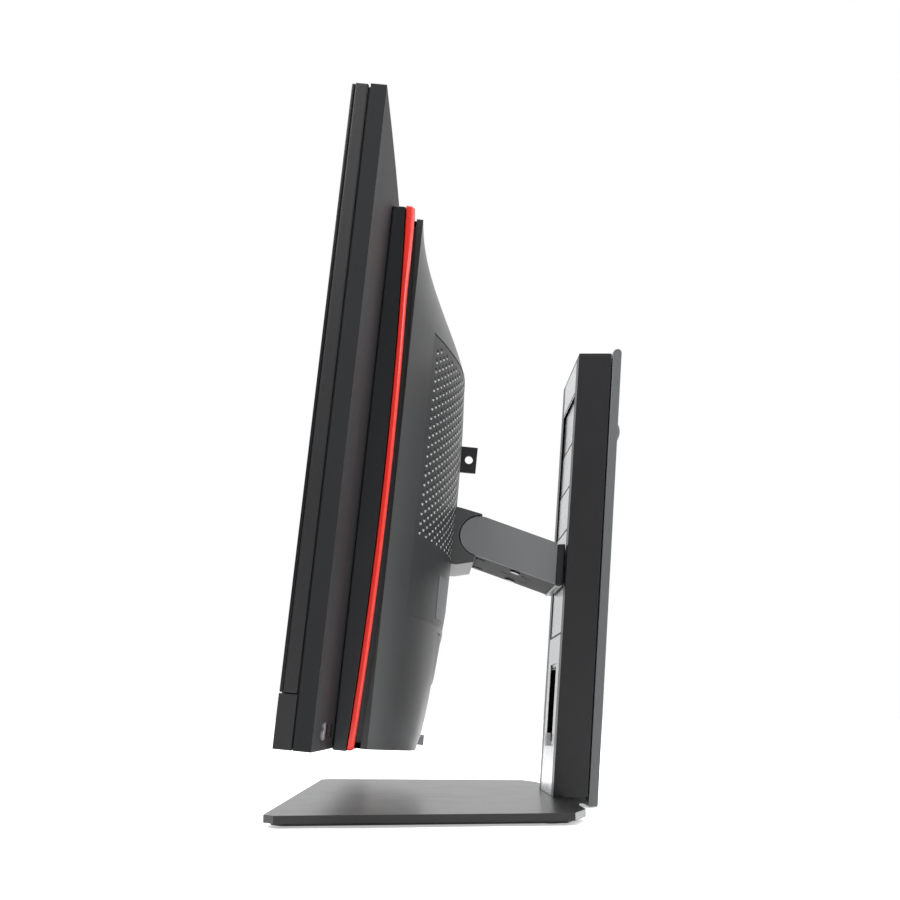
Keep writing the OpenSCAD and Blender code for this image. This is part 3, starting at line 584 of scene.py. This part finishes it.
def shell_depth(x, v):
    """Depth of the rear shell: a parabola across, cut by the side view's curve and blended at the
    ridge. Above the brow it falls along an arched slope to one straight top edge."""
    housing = settings()[0]
    half = across("rear_cover")
    plan = housing.rear_deep - housing.side_drop * (x / half) ** 2
    side = housing.rear_deep + np.interp(v, SIDE_V, SIDE_U) - 0.1
    body = soft_least(plan, side, housing.ridge)
    edge = housing.rear_deep - housing.side_drop
    share = np.clip((span_up("rear_cover")[1] - v) / (span_up("rear_cover")[1] - BROW), 0, 1)
    rise = share + 0.4 * share * (1 - share)
    return np.where(v > BROW, edge + (body - edge) * rise, body)


def shell_lines(low, high, marks, step):
    """Grid lines from low to high, through every mark, no further apart than a step."""
    stops = np.unique(np.clip([low, *marks, high], low, high))
    spans = zip(stops[:-1], stops[1:])
    runs = [np.linspace(a, b, max(2, math.ceil((b - a) / step) + 1))[:-1] for a, b in spans]
    return np.concatenate([*runs, [high]])


# ---- operators ----


class COMPUTER_OT_stage(bpy.types.Operator):
    """Makes the floor, the soft lights and the camera"""

    bl_idname = "computer.stage"
    bl_label = "Stage"

    def execute(self, context):
        stage = settings()[2]
        scene = context.scene
        scene.view_settings.view_transform = "Standard"
        scene.view_settings.look = "None"
        self.studio(scene)
        self.floor()
        self.light("side_softbox", (2.0, -1.0, 1.9), (1.0, 1.0), 60)
        self.light("front_softbox", (-0.6, -2.3, 1.4), (1.6, 1.2), 24, in_gloss=False)
        self.light("rear_softbox", (0.5, 2.4, 1.5), (1.4, 1.4), 40)
        self.light("top_softbox", (-0.2, 0.1, 2.6), (2.6, 2.6), 60)
        sky = bpy.data.lights.new("ceiling", "SUN")
        sky.energy = 1.2
        sky.angle = math.radians(120)
        ceiling = bpy.data.objects.new("ceiling", sky)
        scene.collection.objects.link(ceiling)
        camera = bpy.data.objects.new("camera", bpy.data.cameras.new("camera"))
        scene.collection.objects.link(camera)
        camera.location = (stage.camera_far, stage.camera_side, stage.camera_high)
        camera.rotation_euler = Euler((math.pi / 2 + stage.pitch, 0.0, math.pi / 2))
        camera.data.lens = stage.lens
        camera.data.shift_x = stage.shift_right
        camera.data.shift_y = stage.shift_up
        camera.data.clip_start = 0.01
        scene.camera = camera
        return {"FINISHED"}

    def studio(self, scene):
        """White walls: their light is dim on the camera's side and bright on the far side, where the
        strength rises smoothly with how far a direction points to -x."""
        world = bpy.data.worlds.new("studio")
        world.use_nodes = True
        scene.world = world
        tree = world.node_tree
        back = tree.nodes["Background"]
        path = tree.nodes.new("ShaderNodeLightPath")
        towards = tree.nodes.new("ShaderNodeTexCoord")
        parts = tree.nodes.new("ShaderNodeSeparateXYZ")
        glow = tree.nodes.new("ShaderNodeMapRange")
        glow.interpolation_type = "SMOOTHSTEP"
        for label, value in {"From Min": 0.25, "From Max": -0.8, "To Min": 0.25, "To Max": 1.0}.items():
            glow.inputs[label].default_value = value
        white = tree.nodes.new("ShaderNodeMix")
        white.inputs["B"].default_value = 1.0
        tree.links.new(towards.outputs["Generated"], parts.inputs["Vector"])
        tree.links.new(parts.outputs["X"], glow.inputs["Value"])
        tree.links.new(path.outputs["Is Camera Ray"], white.inputs["Factor"])
        tree.links.new(glow.outputs["Result"], white.inputs["A"])
        tree.links.new(white.outputs["Result"], back.inputs["Strength"])
        back.inputs["Color"].default_value = (1.0, 1.0, 1.0, 1.0)

    def floor(self):
        """A wide pale floor with a faint gloss and an even glow, so that it stays white far away."""
        side = np.array([-60.0, 60.0])
        x, y = np.meshgrid(side, side)
        points = np.stack([x, y, np.zeros_like(x)], axis=-1).reshape(-1, 3)
        mesh = bpy.data.meshes.new("floor")
        mesh.from_pydata(points.tolist(), [], [[0, 1, 3, 2]])
        finish = Finish(
            "pale_floor", Specular_IOR_Level=0.12, Emission_Color=(1.0, 1.0, 1.0, 1.0), Emission_Strength=0.45
        )
        cloud = finish.noise(0.5, detail=2.0)
        finish.feed("Base Color", finish.blend(cloud, (0.86, 0.86, 0.865), (0.9, 0.9, 0.905)))
        finish.feed("Roughness", cloud * 0.1 + 0.4)
        mesh.materials.append(finish.material)
        floor = bpy.data.objects.new("floor", mesh)
        bpy.context.scene.collection.objects.link(floor)

    def light(self, name, place, size, watts, in_gloss=True):
        """A rectangular soft light aimed at the computer's middle, seen in glossy faces or not."""
        light = bpy.data.lights.new(name, "AREA")
        light.shape = "RECTANGLE"
        light.size, light.size_y = size
        light.energy = watts
        lamp = bpy.data.objects.new(name, light)
        bpy.context.scene.collection.objects.link(lamp)
        lamp.location = place
        aim = Vector((0.0, 0.0, 0.2)) - Vector(place)
        lamp.visible_glossy = in_gloss
        lamp.rotation_euler = aim.to_track_quat("-Z", "Y").to_euler()


# The glass's printed border, mm
SCREEN_BORDER = 21.4


class COMPUTER_OT_display(bpy.types.Operator):
    """Rounds and finishes the display: glass, frame, chin bar and back"""

    bl_idname = "computer.display"
    bl_label = "Display"

    def execute(self, context):
        finishes = settings()[1]
        low, high = span_up("screen_glass")
        rise = float(HEAD.origin @ HEAD.v)
        glass = screen_glass(
            "black_glass",
            (across("front_frame") - SCREEN_BORDER) * MM,
            rise + (low + SCREEN_BORDER) * MM,
            rise + (high - SCREEN_BORDER) * MM,
        )
        softened("screen_glass", glass, 0.5)
        black = moulded("frame_plastic", finishes.frame_black, rough=0.38, shine=0.25)
        softened("front_frame", black, 1.0, 3)
        softened("chin_bar", black, 1.0, 3)
        back = moulded("display_back_plastic", finishes.display_grey, rough=0.6, shine=0.14)
        softened("display_back", back, 1.0, 3)
        metal = brushed("socket_metal", (0.07, 0.07, 0.072), 0.35, metallic=0.7)
        softened("side_ports", metal, 0.15, 1)
        silver = brushed("button_silver", (0.16, 0.16, 0.17), 0.3, metallic=0.8)
        softened("power_button", silver, 0.6, 3)
        self.lens()
        self.gasket()
        return {"FINISHED"}

    def gasket(self):
        """The dark seal in the seam over the chin bar: flat grids over x and depth, at the seam's lower
        and upper faces, and their walls."""
        low, high = span_up("chin_bar")[1] - 0.1, span_up("front_frame")[0] + 0.1
        deep = span("chin_bar", HEAD, HEAD.u)
        half, columns, rows = across("chin_bar") - 2.0, 41, 5
        depths = np.linspace(deep[0] + 1.2, deep[1] - 0.3, rows)
        x, u = (a.ravel() for a in np.meshgrid(np.linspace(-half, half, columns), depths))
        quads = whole_grid(columns, rows)
        points, faces = thick_sheet(HEAD.place(x, u, low), HEAD.place(x, u, high), [quads])
        dark_finish = moulded("seal_rubber", (0.006, 0.006, 0.0065), rough=0.6, shine=0.15)
        new_piece("chin_seal", points, faces, "head", dark_finish)

    def lens(self):
        """The camera's window in the glass: rings of a shallow dome, radius against height."""
        radius = np.array([0.0, 1.2, 2.2, 2.9, 3.2, 3.2])
        lift = np.array([0.12, 0.11, 0.09, 0.05, 0.02, -0.3])
        angle = np.linspace(0, 2 * math.pi, 33)[:-1]
        x = radius[:, None] * np.cos(angle)
        v = radius[:, None] * np.sin(angle)
        centre = (span_up("camera_module")[0] + span_up("camera_module")[1]) / 2
        points = HEAD.place(x, -lift[:, None] + 0 * x, v + centre).reshape(-1, 3)
        k, a = np.meshgrid(np.arange(len(radius) - 1), np.arange(len(angle)), indexing="ij")
        a2 = (a + 1) % len(angle)
        n = len(angle)
        quads = np.stack([k * n + a, (k + 1) * n + a, (k + 1) * n + a2, k * n + a2], axis=-1)
        faces = quads.reshape(-1, 4).tolist() + [list(range(len(points) - 1, len(points) - n - 1, -1))]
        dark = Finish("lens_glass", Coat_Weight=1.0, Coat_Roughness=0.02)
        tint = dark.noise(0.002)
        dark.feed("Base Color", dark.blend(tint, (0.006, 0.008, 0.014), (0.02, 0.022, 0.03)))
        new_piece("camera_window", points, faces, "head", dark.material)


class COMPUTER_OT_housing(bpy.types.Operator):
    """Finishes the housing's band and sweeps the red strip round it"""

    bl_idname = "computer.housing"
    bl_label = "Band and strip"

    def execute(self, context):
        finishes = settings()[1]
        softened("housing_band", moulded("band_plastic", finishes.band_black, rough=0.4), 1.1, 3)
        self.strip(finishes.red)
        return {"FINISHED"}

    def strip(self, red):
        """The strip: an eight-sided profile with a bevelled rear edge, carried round a rectangle. Its
        front edge follows the bow, and its width grows by half near the top."""
        housing = settings()[0]
        low, high = span_up("housing_band")[0] + 0.5, span_up("accent_strip")[1]
        path, normal = rounded_rectangle(across("accent_strip"), low, high, 2.5)
        v = path[:, 1]
        start = strip_front(np.clip(v, low + 1, high - 1))
        widens_from, widens_to = 285.0, high - 12.0
        wide = housing.strip_wide * np.interp(v, [widens_from, widens_to], [1.0, 1.5])
        # Outward place in mm and share of the width, round the profile
        out = np.array([-5.5, -0.35, 0.0, 0.0, -0.25, -1.5, -2.0, -5.5])
        share = np.array([0.02, 0.02, 0.09, 0.58, 0.66, 0.97, 1.0, 1.0])
        profile = np.empty((len(v), len(out), 2))
        profile[..., 0] = out
        profile[..., 1] = start[:, None] + share * wide[:, None]
        points, faces = swept(path, normal, profile)
        finish = Finish("red_lacquer", Coat_Weight=0.15, Coat_Roughness=0.15, Specular_IOR_Level=0.3)
        flow = finish.noise(0.03, lean=HEAD.lean, detail=3.0)
        speck = finish.noise(0.0008, detail=1.0)
        warm = (red[0], red[1] * 1.5, red[2] * 1.5)
        finish.feed("Base Color", finish.blend(flow, lighter(red, 0.92), warm))
        finish.feed("Roughness", 0.26 + speck * 0.1)
        finish.bump(speck, 0.00002)
        new_piece("red_strip", points, faces, "head", finish.material, ["accent_strip"])


class COMPUTER_OT_rear_shell(bpy.types.Operator):
    """Builds the smooth rear shell with its windows for the vent panel and the cable cover"""

    bl_idname = "computer.rear_shell"
    bl_label = "Rear shell"

    def execute(self, context):
        housing, finishes, _ = settings()
        half = across("rear_cover")
        low, high = SHELL_LOW, span_up("rear_cover")[1] - 0.2
        panel_x, (panel_low, panel_high) = across("vent_grille") + 0.2, span_up("vent_grille")
        panel_low, panel_high = math.floor(panel_low), math.ceil(panel_high)
        flap_x, (flap_low, flap_high) = across("io_cover") + 0.2, FLAP_WINDOW
        block_x = across("hinge_block") + 0.5
        xs = shell_lines(-half, half, [-panel_x, -flap_x, -block_x, 0, block_x, flap_x, panel_x], 6.0)
        vs = shell_lines(low, high, [flap_low, flap_high, panel_low, panel_high, *SIDE_V[1:-1]], 6.0)
        mid_x, mid_v = (xs[1:] + xs[:-1]) / 2, (vs[1:] + vs[:-1]) / 2
        in_panel = (np.abs(mid_x) < panel_x) & ((mid_v > panel_low) & (mid_v < panel_high))[:, None]
        in_flap = (np.abs(mid_x) < flap_x) & ((mid_v > flap_low) & (mid_v < flap_high))[:, None]
        keep = np.pad(~(in_panel | in_flap), 3, constant_values=True)
        # Three rim lines on each side carry the shell forward: its skirt, a return and its side wall.
        # The last two stand a little over 7 mm behind the strip's front
        inset = np.array([RIM_INSET, RIM_INSET, 0.0])
        rim_x = np.concatenate([-half + inset, xs, half - inset[::-1]])
        rim_v = np.concatenate([low + inset, vs, high - inset[::-1]])
        x, v = np.meshgrid(rim_x, rim_v)
        depth = shell_depth(x, v)
        edge = strip_front(v) + np.interp(v, [200.0, 320.0], [7.6, 7.2])
        for k, level in enumerate((strip_front(v) + 2.0, edge, edge)):
            for row in (k, len(rim_v) - 1 - k):
                depth[row] = np.minimum(depth[row], level[row])
            for column in (k, len(rim_x) - 1 - k):
                depth[:, column] = np.minimum(depth[:, column], level[:, column])
        behind_wall = RIM_INSET + housing.wall
        inside_x = np.clip(x, -half + behind_wall, half - behind_wall)
        inside_v = np.clip(v, low + behind_wall, high - behind_wall)
        inner = shell_depth(inside_x, inside_v) - housing.wall
        rim = np.ones_like(depth, bool)
        rim[3:-3, 3:-3] = False
        inner = np.where(rim, np.minimum(inner, depth), inner)
        front = HEAD.place(x, depth, v).reshape(-1, 3)
        back = HEAD.place(inside_x, inner, inside_v).reshape(-1, 3)
        points, faces = thick_sheet(front, back, [grid_quads(len(rim_x), keep)])
        grey = moulded("shell_plastic", finishes.shell_grey, rough=0.36, grain=0.0006, coat=0.05)
        shell = new_piece("rear_shell", points, faces, "head", grey, ["rear_cover"])
        eased(shell, 0.5, 2)
        return {"FINISHED"}


# A cell's six outline points, counted from its lower left corner, and the sixteen points of its
# hole, counted from the right: triangles (outline, hole) that fill the space between them
CELL_OUTLINE = 6
HOLE_SIDES = 16
CELL_FANS = {
    0: (12, 11, 10, 9),
    1: (15, 14, 13, 12),
    2: (1, 0, 15),
    3: (4, 3, 2, 1),
    4: (7, 6, 5, 4),
    5: (9, 8, 7),
}
# The holes' field up the face and to each side of its middle, and the panel's thickness, mm
FIELD_LOW, FIELD_HIGH, FIELD_HALF = 138.0, 273.0, 146.0
PANEL_THICK = 1.4


def cell_triangles():
    """Triangles of one cell: a fan from each outline point to the hole, and one across each side."""
    made = []
    for corner, fan in CELL_FANS.items():
        hole = [CELL_OUTLINE + k for k in fan]
        made += [(corner, a, b) for a, b in zip(hole[:-1], hole[1:])]
        made.append((corner, (corner + 1) % CELL_OUTLINE, hole[0]))
    return np.array(made)


class COMPUTER_OT_vent_panel(bpy.types.Operator):
    """Builds the vent panel with its staggered field of round holes, a painted highlight on the holes' lower
    walls, and the bare plate on it
    """

    bl_idname = "computer.vent_panel"
    bl_label = "Vent panel"

    def execute(self, context):
        housing, finishes, _ = settings()
        half = across("vent_grille")
        low, high = span_up("vent_grille")
        xs = np.linspace(-half, half, housing.vent_columns + 1)
        vs = np.linspace(low, high, housing.vent_rows + 1)
        columns = len(xs)
        mid_x, mid_v = (xs[1:] + xs[:-1]) / 2, (vs[1:] + vs[:-1]) / 2
        keep = np.ones((len(vs) - 1, columns - 1), bool)
        block_low, block_high = span_up("hinge_block")
        at_block = (vs[1:] > block_low - 0.4) & (vs[:-1] < block_high + 0.4)
        inside = (np.abs(mid_x) < across("hinge_block") + 1.4) & at_block[:, None]
        lug_low, lug_high = span_up("lock_lug")
        at_lug = (np.abs(mid_x) < 6.5) & ((vs[1:] > lug_low) & (vs[:-1] < lug_high))[:, None]
        keep &= ~(inside | at_lug)
        # Holes start on even half rows in even columns and on odd ones in odd columns
        j, i = np.meshgrid(np.arange(len(vs) - 2), np.arange(columns - 1), indexing="ij")
        staggered = (j + i) % 2 == 0
        field = (vs[j] > FIELD_LOW) & (vs[j + 2] < FIELD_HIGH) & (np.abs(mid_x[i]) < FIELD_HALF)
        whole = keep[:-1] & keep[1:]
        cell_j, cell_i = np.nonzero(staggered & field & whole)
        keep[cell_j, cell_i] = False
        keep[cell_j + 1, cell_i] = False
        x, v = (a.ravel() for a in np.meshgrid(xs, vs))
        corner = cell_j * columns + cell_i
        outline = corner[:, None] + np.array([0, 1, columns + 1, 2 * columns + 1, 2 * columns, columns])
        turn = np.arange(HOLE_SIDES) * 2 * math.pi / HOLE_SIDES
        centre_x, centre_v = mid_x[cell_i][:, None], vs[cell_j + 1][:, None]
        mouth, throat = housing.vent_hole + 0.3, housing.vent_hole - 0.1
        hole = len(x) + np.arange(centre_x.size * HOLE_SIDES).reshape(-1, HOLE_SIDES)
        cells = np.concatenate([outline, hole], axis=1)
        triangles = cells[:, cell_triangles()].reshape(-1, 3)[:, ::-1]
        sides = []
        for radius, below in ((mouth, 0.0), (throat, PANEL_THICK)):
            side_x = np.concatenate([x, (centre_x + radius * np.cos(turn)).ravel()])
            side_v = np.concatenate([v, (centre_v + radius * np.sin(turn)).ravel()])
            depth = shell_depth(side_x, side_v) - housing.vent_recess - below
            sides.append(HEAD.place(side_x, depth, side_v))
        points, faces = thick_sheet(*sides, [grid_quads(columns, keep), triangles])
        grey = lighter(finishes.shell_grey, 0.9)
        dark = moulded("panel_plastic", grey, rough=0.4, grain=0.0005, shine=0.3)
        panel = new_piece("perforated_panel", points, faces, "head", dark, ["vent_grille"])
        self.paint_wall_highlight(panel.data)
        self.bare_plate()
        return {"FINISHED"}

    def paint_wall_highlight(self, mesh):
        """Paints a highlight on the lower inner walls of the holes: a paler finish stands in for the light
        from above that catches them. These walls stand nearly square to the panel, and face up and away from
        the panel's middle."""
        # Pale grey painted highlight for the hole walls that face up
        mesh.materials.append(moulded("painted_wall_highlight", (0.42, 0.425, 0.43), rough=0.35, grain=0.0003))
        normal = np.empty(len(mesh.polygons) * 3, dtype=np.float32)
        mesh.polygons.foreach_get("normal", normal)
        centre = np.empty(len(mesh.polygons) * 3, dtype=np.float32)
        mesh.polygons.foreach_get("center", centre)
        normal, centre = normal.reshape(-1, 3), centre.reshape(-1, 3)
        outward = normal[:, 0] * np.sign(centre[:, 0])
        highlight_wall = (np.abs(normal @ HEAD.u) < 0.6) & (outward > 0.4) & (normal @ HEAD.v > 0.15)
        mesh.polygons.foreach_set("material_index", highlight_wall.astype(np.int32))
        mesh.update()

    def bare_plate(self):
        """A thin smooth plate with nothing on it, laid on the panel's plain stretch."""
        recess = settings()[0].vent_recess
        columns, rows = 13, 7
        grid = np.meshgrid(np.linspace(40, 86, columns), np.linspace(92, 122, rows))
        x, v = (a.ravel() for a in grid)
        depth = shell_depth(x, v) - recess
        front, back = HEAD.place(x, depth + 0.25, v), HEAD.place(x, depth - 0.05, v)
        points, faces = thick_sheet(front, back, [whole_grid(columns, rows)])
        pale = moulded("plate_film", (0.085, 0.087, 0.092), rough=0.5, grain=0.0003, depth=0.00001)
        new_piece("bare_plate", points, faces, "head", pale)


class COMPUTER_OT_cable_cover(bpy.types.Operator):
    """Builds the cable cover over the rear sockets, with its step and slots, and the light tab"""

    bl_idname = "computer.cable_cover"
    bl_label = "Cable cover"

    def execute(self, context):
        finishes = settings()[1]
        half = across("io_cover")
        low, high = FLAP_WINDOW[0] + 0.2, FLAP_WINDOW[1] - 0.2
        slots, slot_half, (slot_low, slot_high) = np.arange(-60, 61, 12), 4, (20, 23)
        step_low, step_high = 48.5, 51.5
        xs = shell_lines(-half, half, np.concatenate([slots - slot_half, slots + slot_half]), 6.0)
        marks = [slot_low, slot_high, step_low, (step_low + step_high) / 2, step_high]
        vs = shell_lines(low, high, marks, 5.0)
        mid_x, mid_v = (xs[1:] + xs[:-1]) / 2, (vs[1:] + vs[:-1]) / 2
        in_slot = np.abs(mid_x[:, None] - slots).min(axis=1) < slot_half
        keep = ~(in_slot & ((mid_v > slot_low) & (mid_v < slot_high))[:, None])
        x, v = (a.ravel() for a in np.meshgrid(xs, vs))
        step = 1.1 * np.clip((step_high - v) / (step_high - step_low), 0, 1)
        depth = shell_depth(x, v) - 0.5 - step
        front, back = HEAD.place(x, depth, v), HEAD.place(x, depth - 2.0, v)
        points, faces = thick_sheet(front, back, [grid_quads(len(xs), keep)])
        dark = moulded("cable_cover_plastic", lighter(finishes.shell_grey, 0.8), rough=0.42)
        cover = new_piece("socket_cover", points, faces, "head", dark, ["io_cover"])
        eased(cover, 0.35)
        self.tab()
        return {"FINISHED"}

    def tab(self):
        """The light tab at the shell's lower edge: a block from its rear face in to the shell's wall."""
        inward = 3.0
        near, far = span("rear_tab", HEAD, HEAD.u)
        low, high = span_up("rear_tab")
        points, faces = block(HEAD, across("rear_tab"), 9, low, high, 4, far, near - inward)
        pale = moulded("tab_plastic", (0.6, 0.61, 0.62), rough=0.5)
        piece = new_piece("light_tab", points, faces, "head", pale, ["rear_tab"])
        eased(piece, 0.5, 2)


class COMPUTER_OT_hinge_and_arm(bpy.types.Operator):
    """Rounds and finishes the hinge block, the arm, its collar and the lock lug"""

    bl_idname = "computer.hinge_and_arm"
    bl_label = "Hinge and arm"

    def execute(self, context):
        finishes = settings()[1]
        grey = finishes.arm_grey
        arm = moulded("arm_plastic", grey, rough=0.42, grain=0.0005, shine=0.3)
        softened("arm_shell", arm, 0.8, 3)
        # The underside cover takes a darker copy of the arm's grey: painted shade for the side that faces
        # down
        shaded_underside = moulded("arm_underside_painted_shade", lighter(grey, 0.45), rough=0.62, shine=0.08)
        softened("arm_bottom_cover", shaded_underside, 0.3)
        softened("arm_collar", moulded("collar_plastic", (0.012, 0.012, 0.013), rough=0.35), 1.0, 3)
        softened("hinge_block", moulded("block_plastic", lighter(grey, 0.36), rough=0.42, shine=0.3), 0.5)
        softened("lock_lug", painted("lug_paint", (0.018, 0.018, 0.02)), 0.3)
        softened("hinge_bracket", painted("bracket_paint", (0.05, 0.05, 0.053)), 0.3)
        dress(brushed("ground_steel", (0.62, 0.62, 0.64)), "hinge_pin")
        dress(painted("blackened_steel", (0.012, 0.012, 0.013)), "arm_screws")
        dress(brushed("washer_bronze", (0.5, 0.32, 0.14)), "friction_washers")
        dress(cast("arm_alloy", (0.35, 0.35, 0.36)), "arm_casting", "carriage")
        return {"FINISHED"}


class COMPUTER_OT_column(bpy.types.Operator):
    """Rounds and finishes the column, its covers, shutter plates, clip and button"""

    bl_idname = "computer.column"
    bl_label = "Column"

    def execute(self, context):
        finishes = settings()[1]
        lean = COLUMN.lean
        black = moulded("column_coat", finishes.column_black, 0.36, 0.0005, lean=lean, shine=0.28)
        softened("column_channel", black, 0.35)
        softened("column_top_cap", black, 0.6)
        rear = moulded("column_cover_plastic", finishes.cover_grey, rough=0.36, lean=lean)
        softened("column_rear_cover", rear, 0.8, 3)
        plate = brushed("shutter_anodised", finishes.shutter_grey, rough=0.24, lean=lean, metallic=0.7)
        for node in ("shutter_header", "lower_front_cover", "shutter_carrier"):
            softened(node, plate, 0.25)
        # Dark strips of painted shade stand for the shaded grooves at the ends of the shutter plates
        shade_strip = moulded("painted_groove_shade", (0.008, 0.008, 0.0085), rough=0.5, lean=lean, shine=0.2)
        for side in ("upper", "lower"):
            for number in (1, 2, 3):
                node = f"shutter_{side}_{number}"
                softened(node, plate, 0.25)
                self.shade_strip(node, side == "lower", shade_strip)
        self.shade_strip("shutter_header", True, shade_strip)
        self.shade_strip("lower_front_cover", False, shade_strip)
        self.shade_strip("shutter_carrier", False, shade_strip)
        softened("cable_clip", moulded("clip_plastic", (0.55, 0.56, 0.57), rough=0.4), 0.4)
        button = moulded("button_plastic", (0.03, 0.03, 0.033), rough=0.3, lean=lean)
        softened("release_button", button, 0.8, 3)
        rail = brushed("rail_steel", (0.6, 0.6, 0.62), lean=lean)
        dress(rail, "guide_rails", "gas_spring_rod", "base_screws")
        spring = painted("spring_paint", (0.012, 0.012, 0.013), rough=0.25)
        dress(spring, "gas_spring_cylinder", "column_bracket")
        dress(moulded("pad_nylon", (0.62, 0.59, 0.52), rough=0.5), "glide_pads")
        return {"FINISHED"}

    def shade_strip(self, node, at_bottom, dark_finish):
        """A dark strip of painted shade along the end of a shutter plate, standing for the shaded groove
        between plates: a flat grid over x and height, raised a little from the plate's face."""
        front = span(node, COLUMN, COLUMN.u)[0]
        bottom, top = span(node, COLUMN, COLUMN.v)
        end = bottom + 0.9 if at_bottom else top - 0.9
        half = across(node) - 0.4
        points, faces = block(COLUMN, half, 13, end - 0.7, end + 0.7, 4, front + 0.1, front - 0.07)
        body = frame["nodes"][node]["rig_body"]
        new_piece(node + "_painted_shade", points, faces, body, dark_finish)


class COMPUTER_OT_base(bpy.types.Operator):
    """Rounds and finishes the base plate, its underlay and the rubber feet"""

    bl_idname = "computer.base"
    bl_label = "Base"

    def execute(self, context):
        finishes = settings()[1]
        paint = painted("base_paint", finishes.base_black, rough=0.3, coat=0.12)
        softened("base_plate", paint, 0.9, 3)
        softened("base_underlay", moulded("underlay_plastic", (0.009, 0.009, 0.009), rough=0.6), 0.3)
        softened("rubber_feet", moulded("foot_rubber", (0.012, 0.012, 0.012), rough=0.75, grain=0.0004), 0.3)
        return {"FINISHED"}


class COMPUTER_OT_inside(bpy.types.Operator):
    """Finishes the pieces inside the housing"""

    bl_idname = "computer.inside"
    bl_label = "Inside"

    def execute(self, context):
        sheet = brushed("chassis_sheet", (0.55, 0.56, 0.57), 0.4, (0.02, 1, 1))
        dress(sheet, "chassis_plate", "backlight_tray")
        dress(brushed("screw_zinc", (0.6, 0.6, 0.58), 0.35), "chassis_screws")
        dress(circuit_board("board_lacquer", (0.012, 0.07, 0.03)), "motherboard", "memory_modules")
        dress(brushed("sink_alloy", (0.62, 0.63, 0.65), 0.4), "heatsink")
        dress(brushed("pipe_copper", (0.72, 0.36, 0.2), 0.3), "heat_pipes")
        dress(moulded("fan_plastic", (0.015, 0.015, 0.016), rough=0.45), "fan_housing", "fan_rotor")
        dress(moulded("speaker_plastic", (0.012, 0.012, 0.012)), "speakers", "camera_module", "lcd_panel")
        dress(cast("module_case", (0.4, 0.4, 0.41)), "storage_drive", "power_supply")
        return {"FINISHED"}


PIECES = (
    COMPUTER_OT_stage,
    COMPUTER_OT_display,
    COMPUTER_OT_housing,
    COMPUTER_OT_rear_shell,
    COMPUTER_OT_vent_panel,
    COMPUTER_OT_cable_cover,
    COMPUTER_OT_hinge_and_arm,
    COMPUTER_OT_column,
    COMPUTER_OT_base,
    COMPUTER_OT_inside,
)


class COMPUTER_PT_panel(bpy.types.Panel):
    """Lists the computer's settings and makers"""

    bl_idname = "COMPUTER_PT_panel"
    bl_label = "All in One Computer"
    bl_space_type = "VIEW_3D"
    bl_region_type = "UI"
    bl_category = "Computer"

    def draw(self, context):
        for group in settings():
            box = self.layout.box()
            for label in group.bl_rna.properties.keys():
                if label not in ("rna_type", "name"):
                    box.prop(group, label)
        for piece in PIECES:
            self.layout.operator(piece.bl_idname)


GROUPS = (HousingSettings, FinishSettings, StageSettings)
CLASSES = (*GROUPS, *PIECES, COMPUTER_PT_panel)


def register():
    """Registers the classes and hangs the settings on the scene."""
    for each in CLASSES:
        bpy.utils.register_class(each)
    bpy.types.Scene.housing_settings = PointerProperty(type=HousingSettings)
    bpy.types.Scene.finish_settings = PointerProperty(type=FinishSettings)
    bpy.types.Scene.stage_settings = PointerProperty(type=StageSettings)


def unregister():
    """Takes the settings off the scene and removes the classes."""
    for label in ("housing_settings", "finish_settings", "stage_settings"):
        delattr(bpy.types.Scene, label)
    for each in reversed(CLASSES):
        bpy.utils.unregister_class(each)


def main():
    """Makes everything in order."""
    register()
    for piece in PIECES:
        group, label = piece.bl_idname.split(".")
        getattr(getattr(bpy.ops, group), label)()


if __name__ == "__main__":
    main()
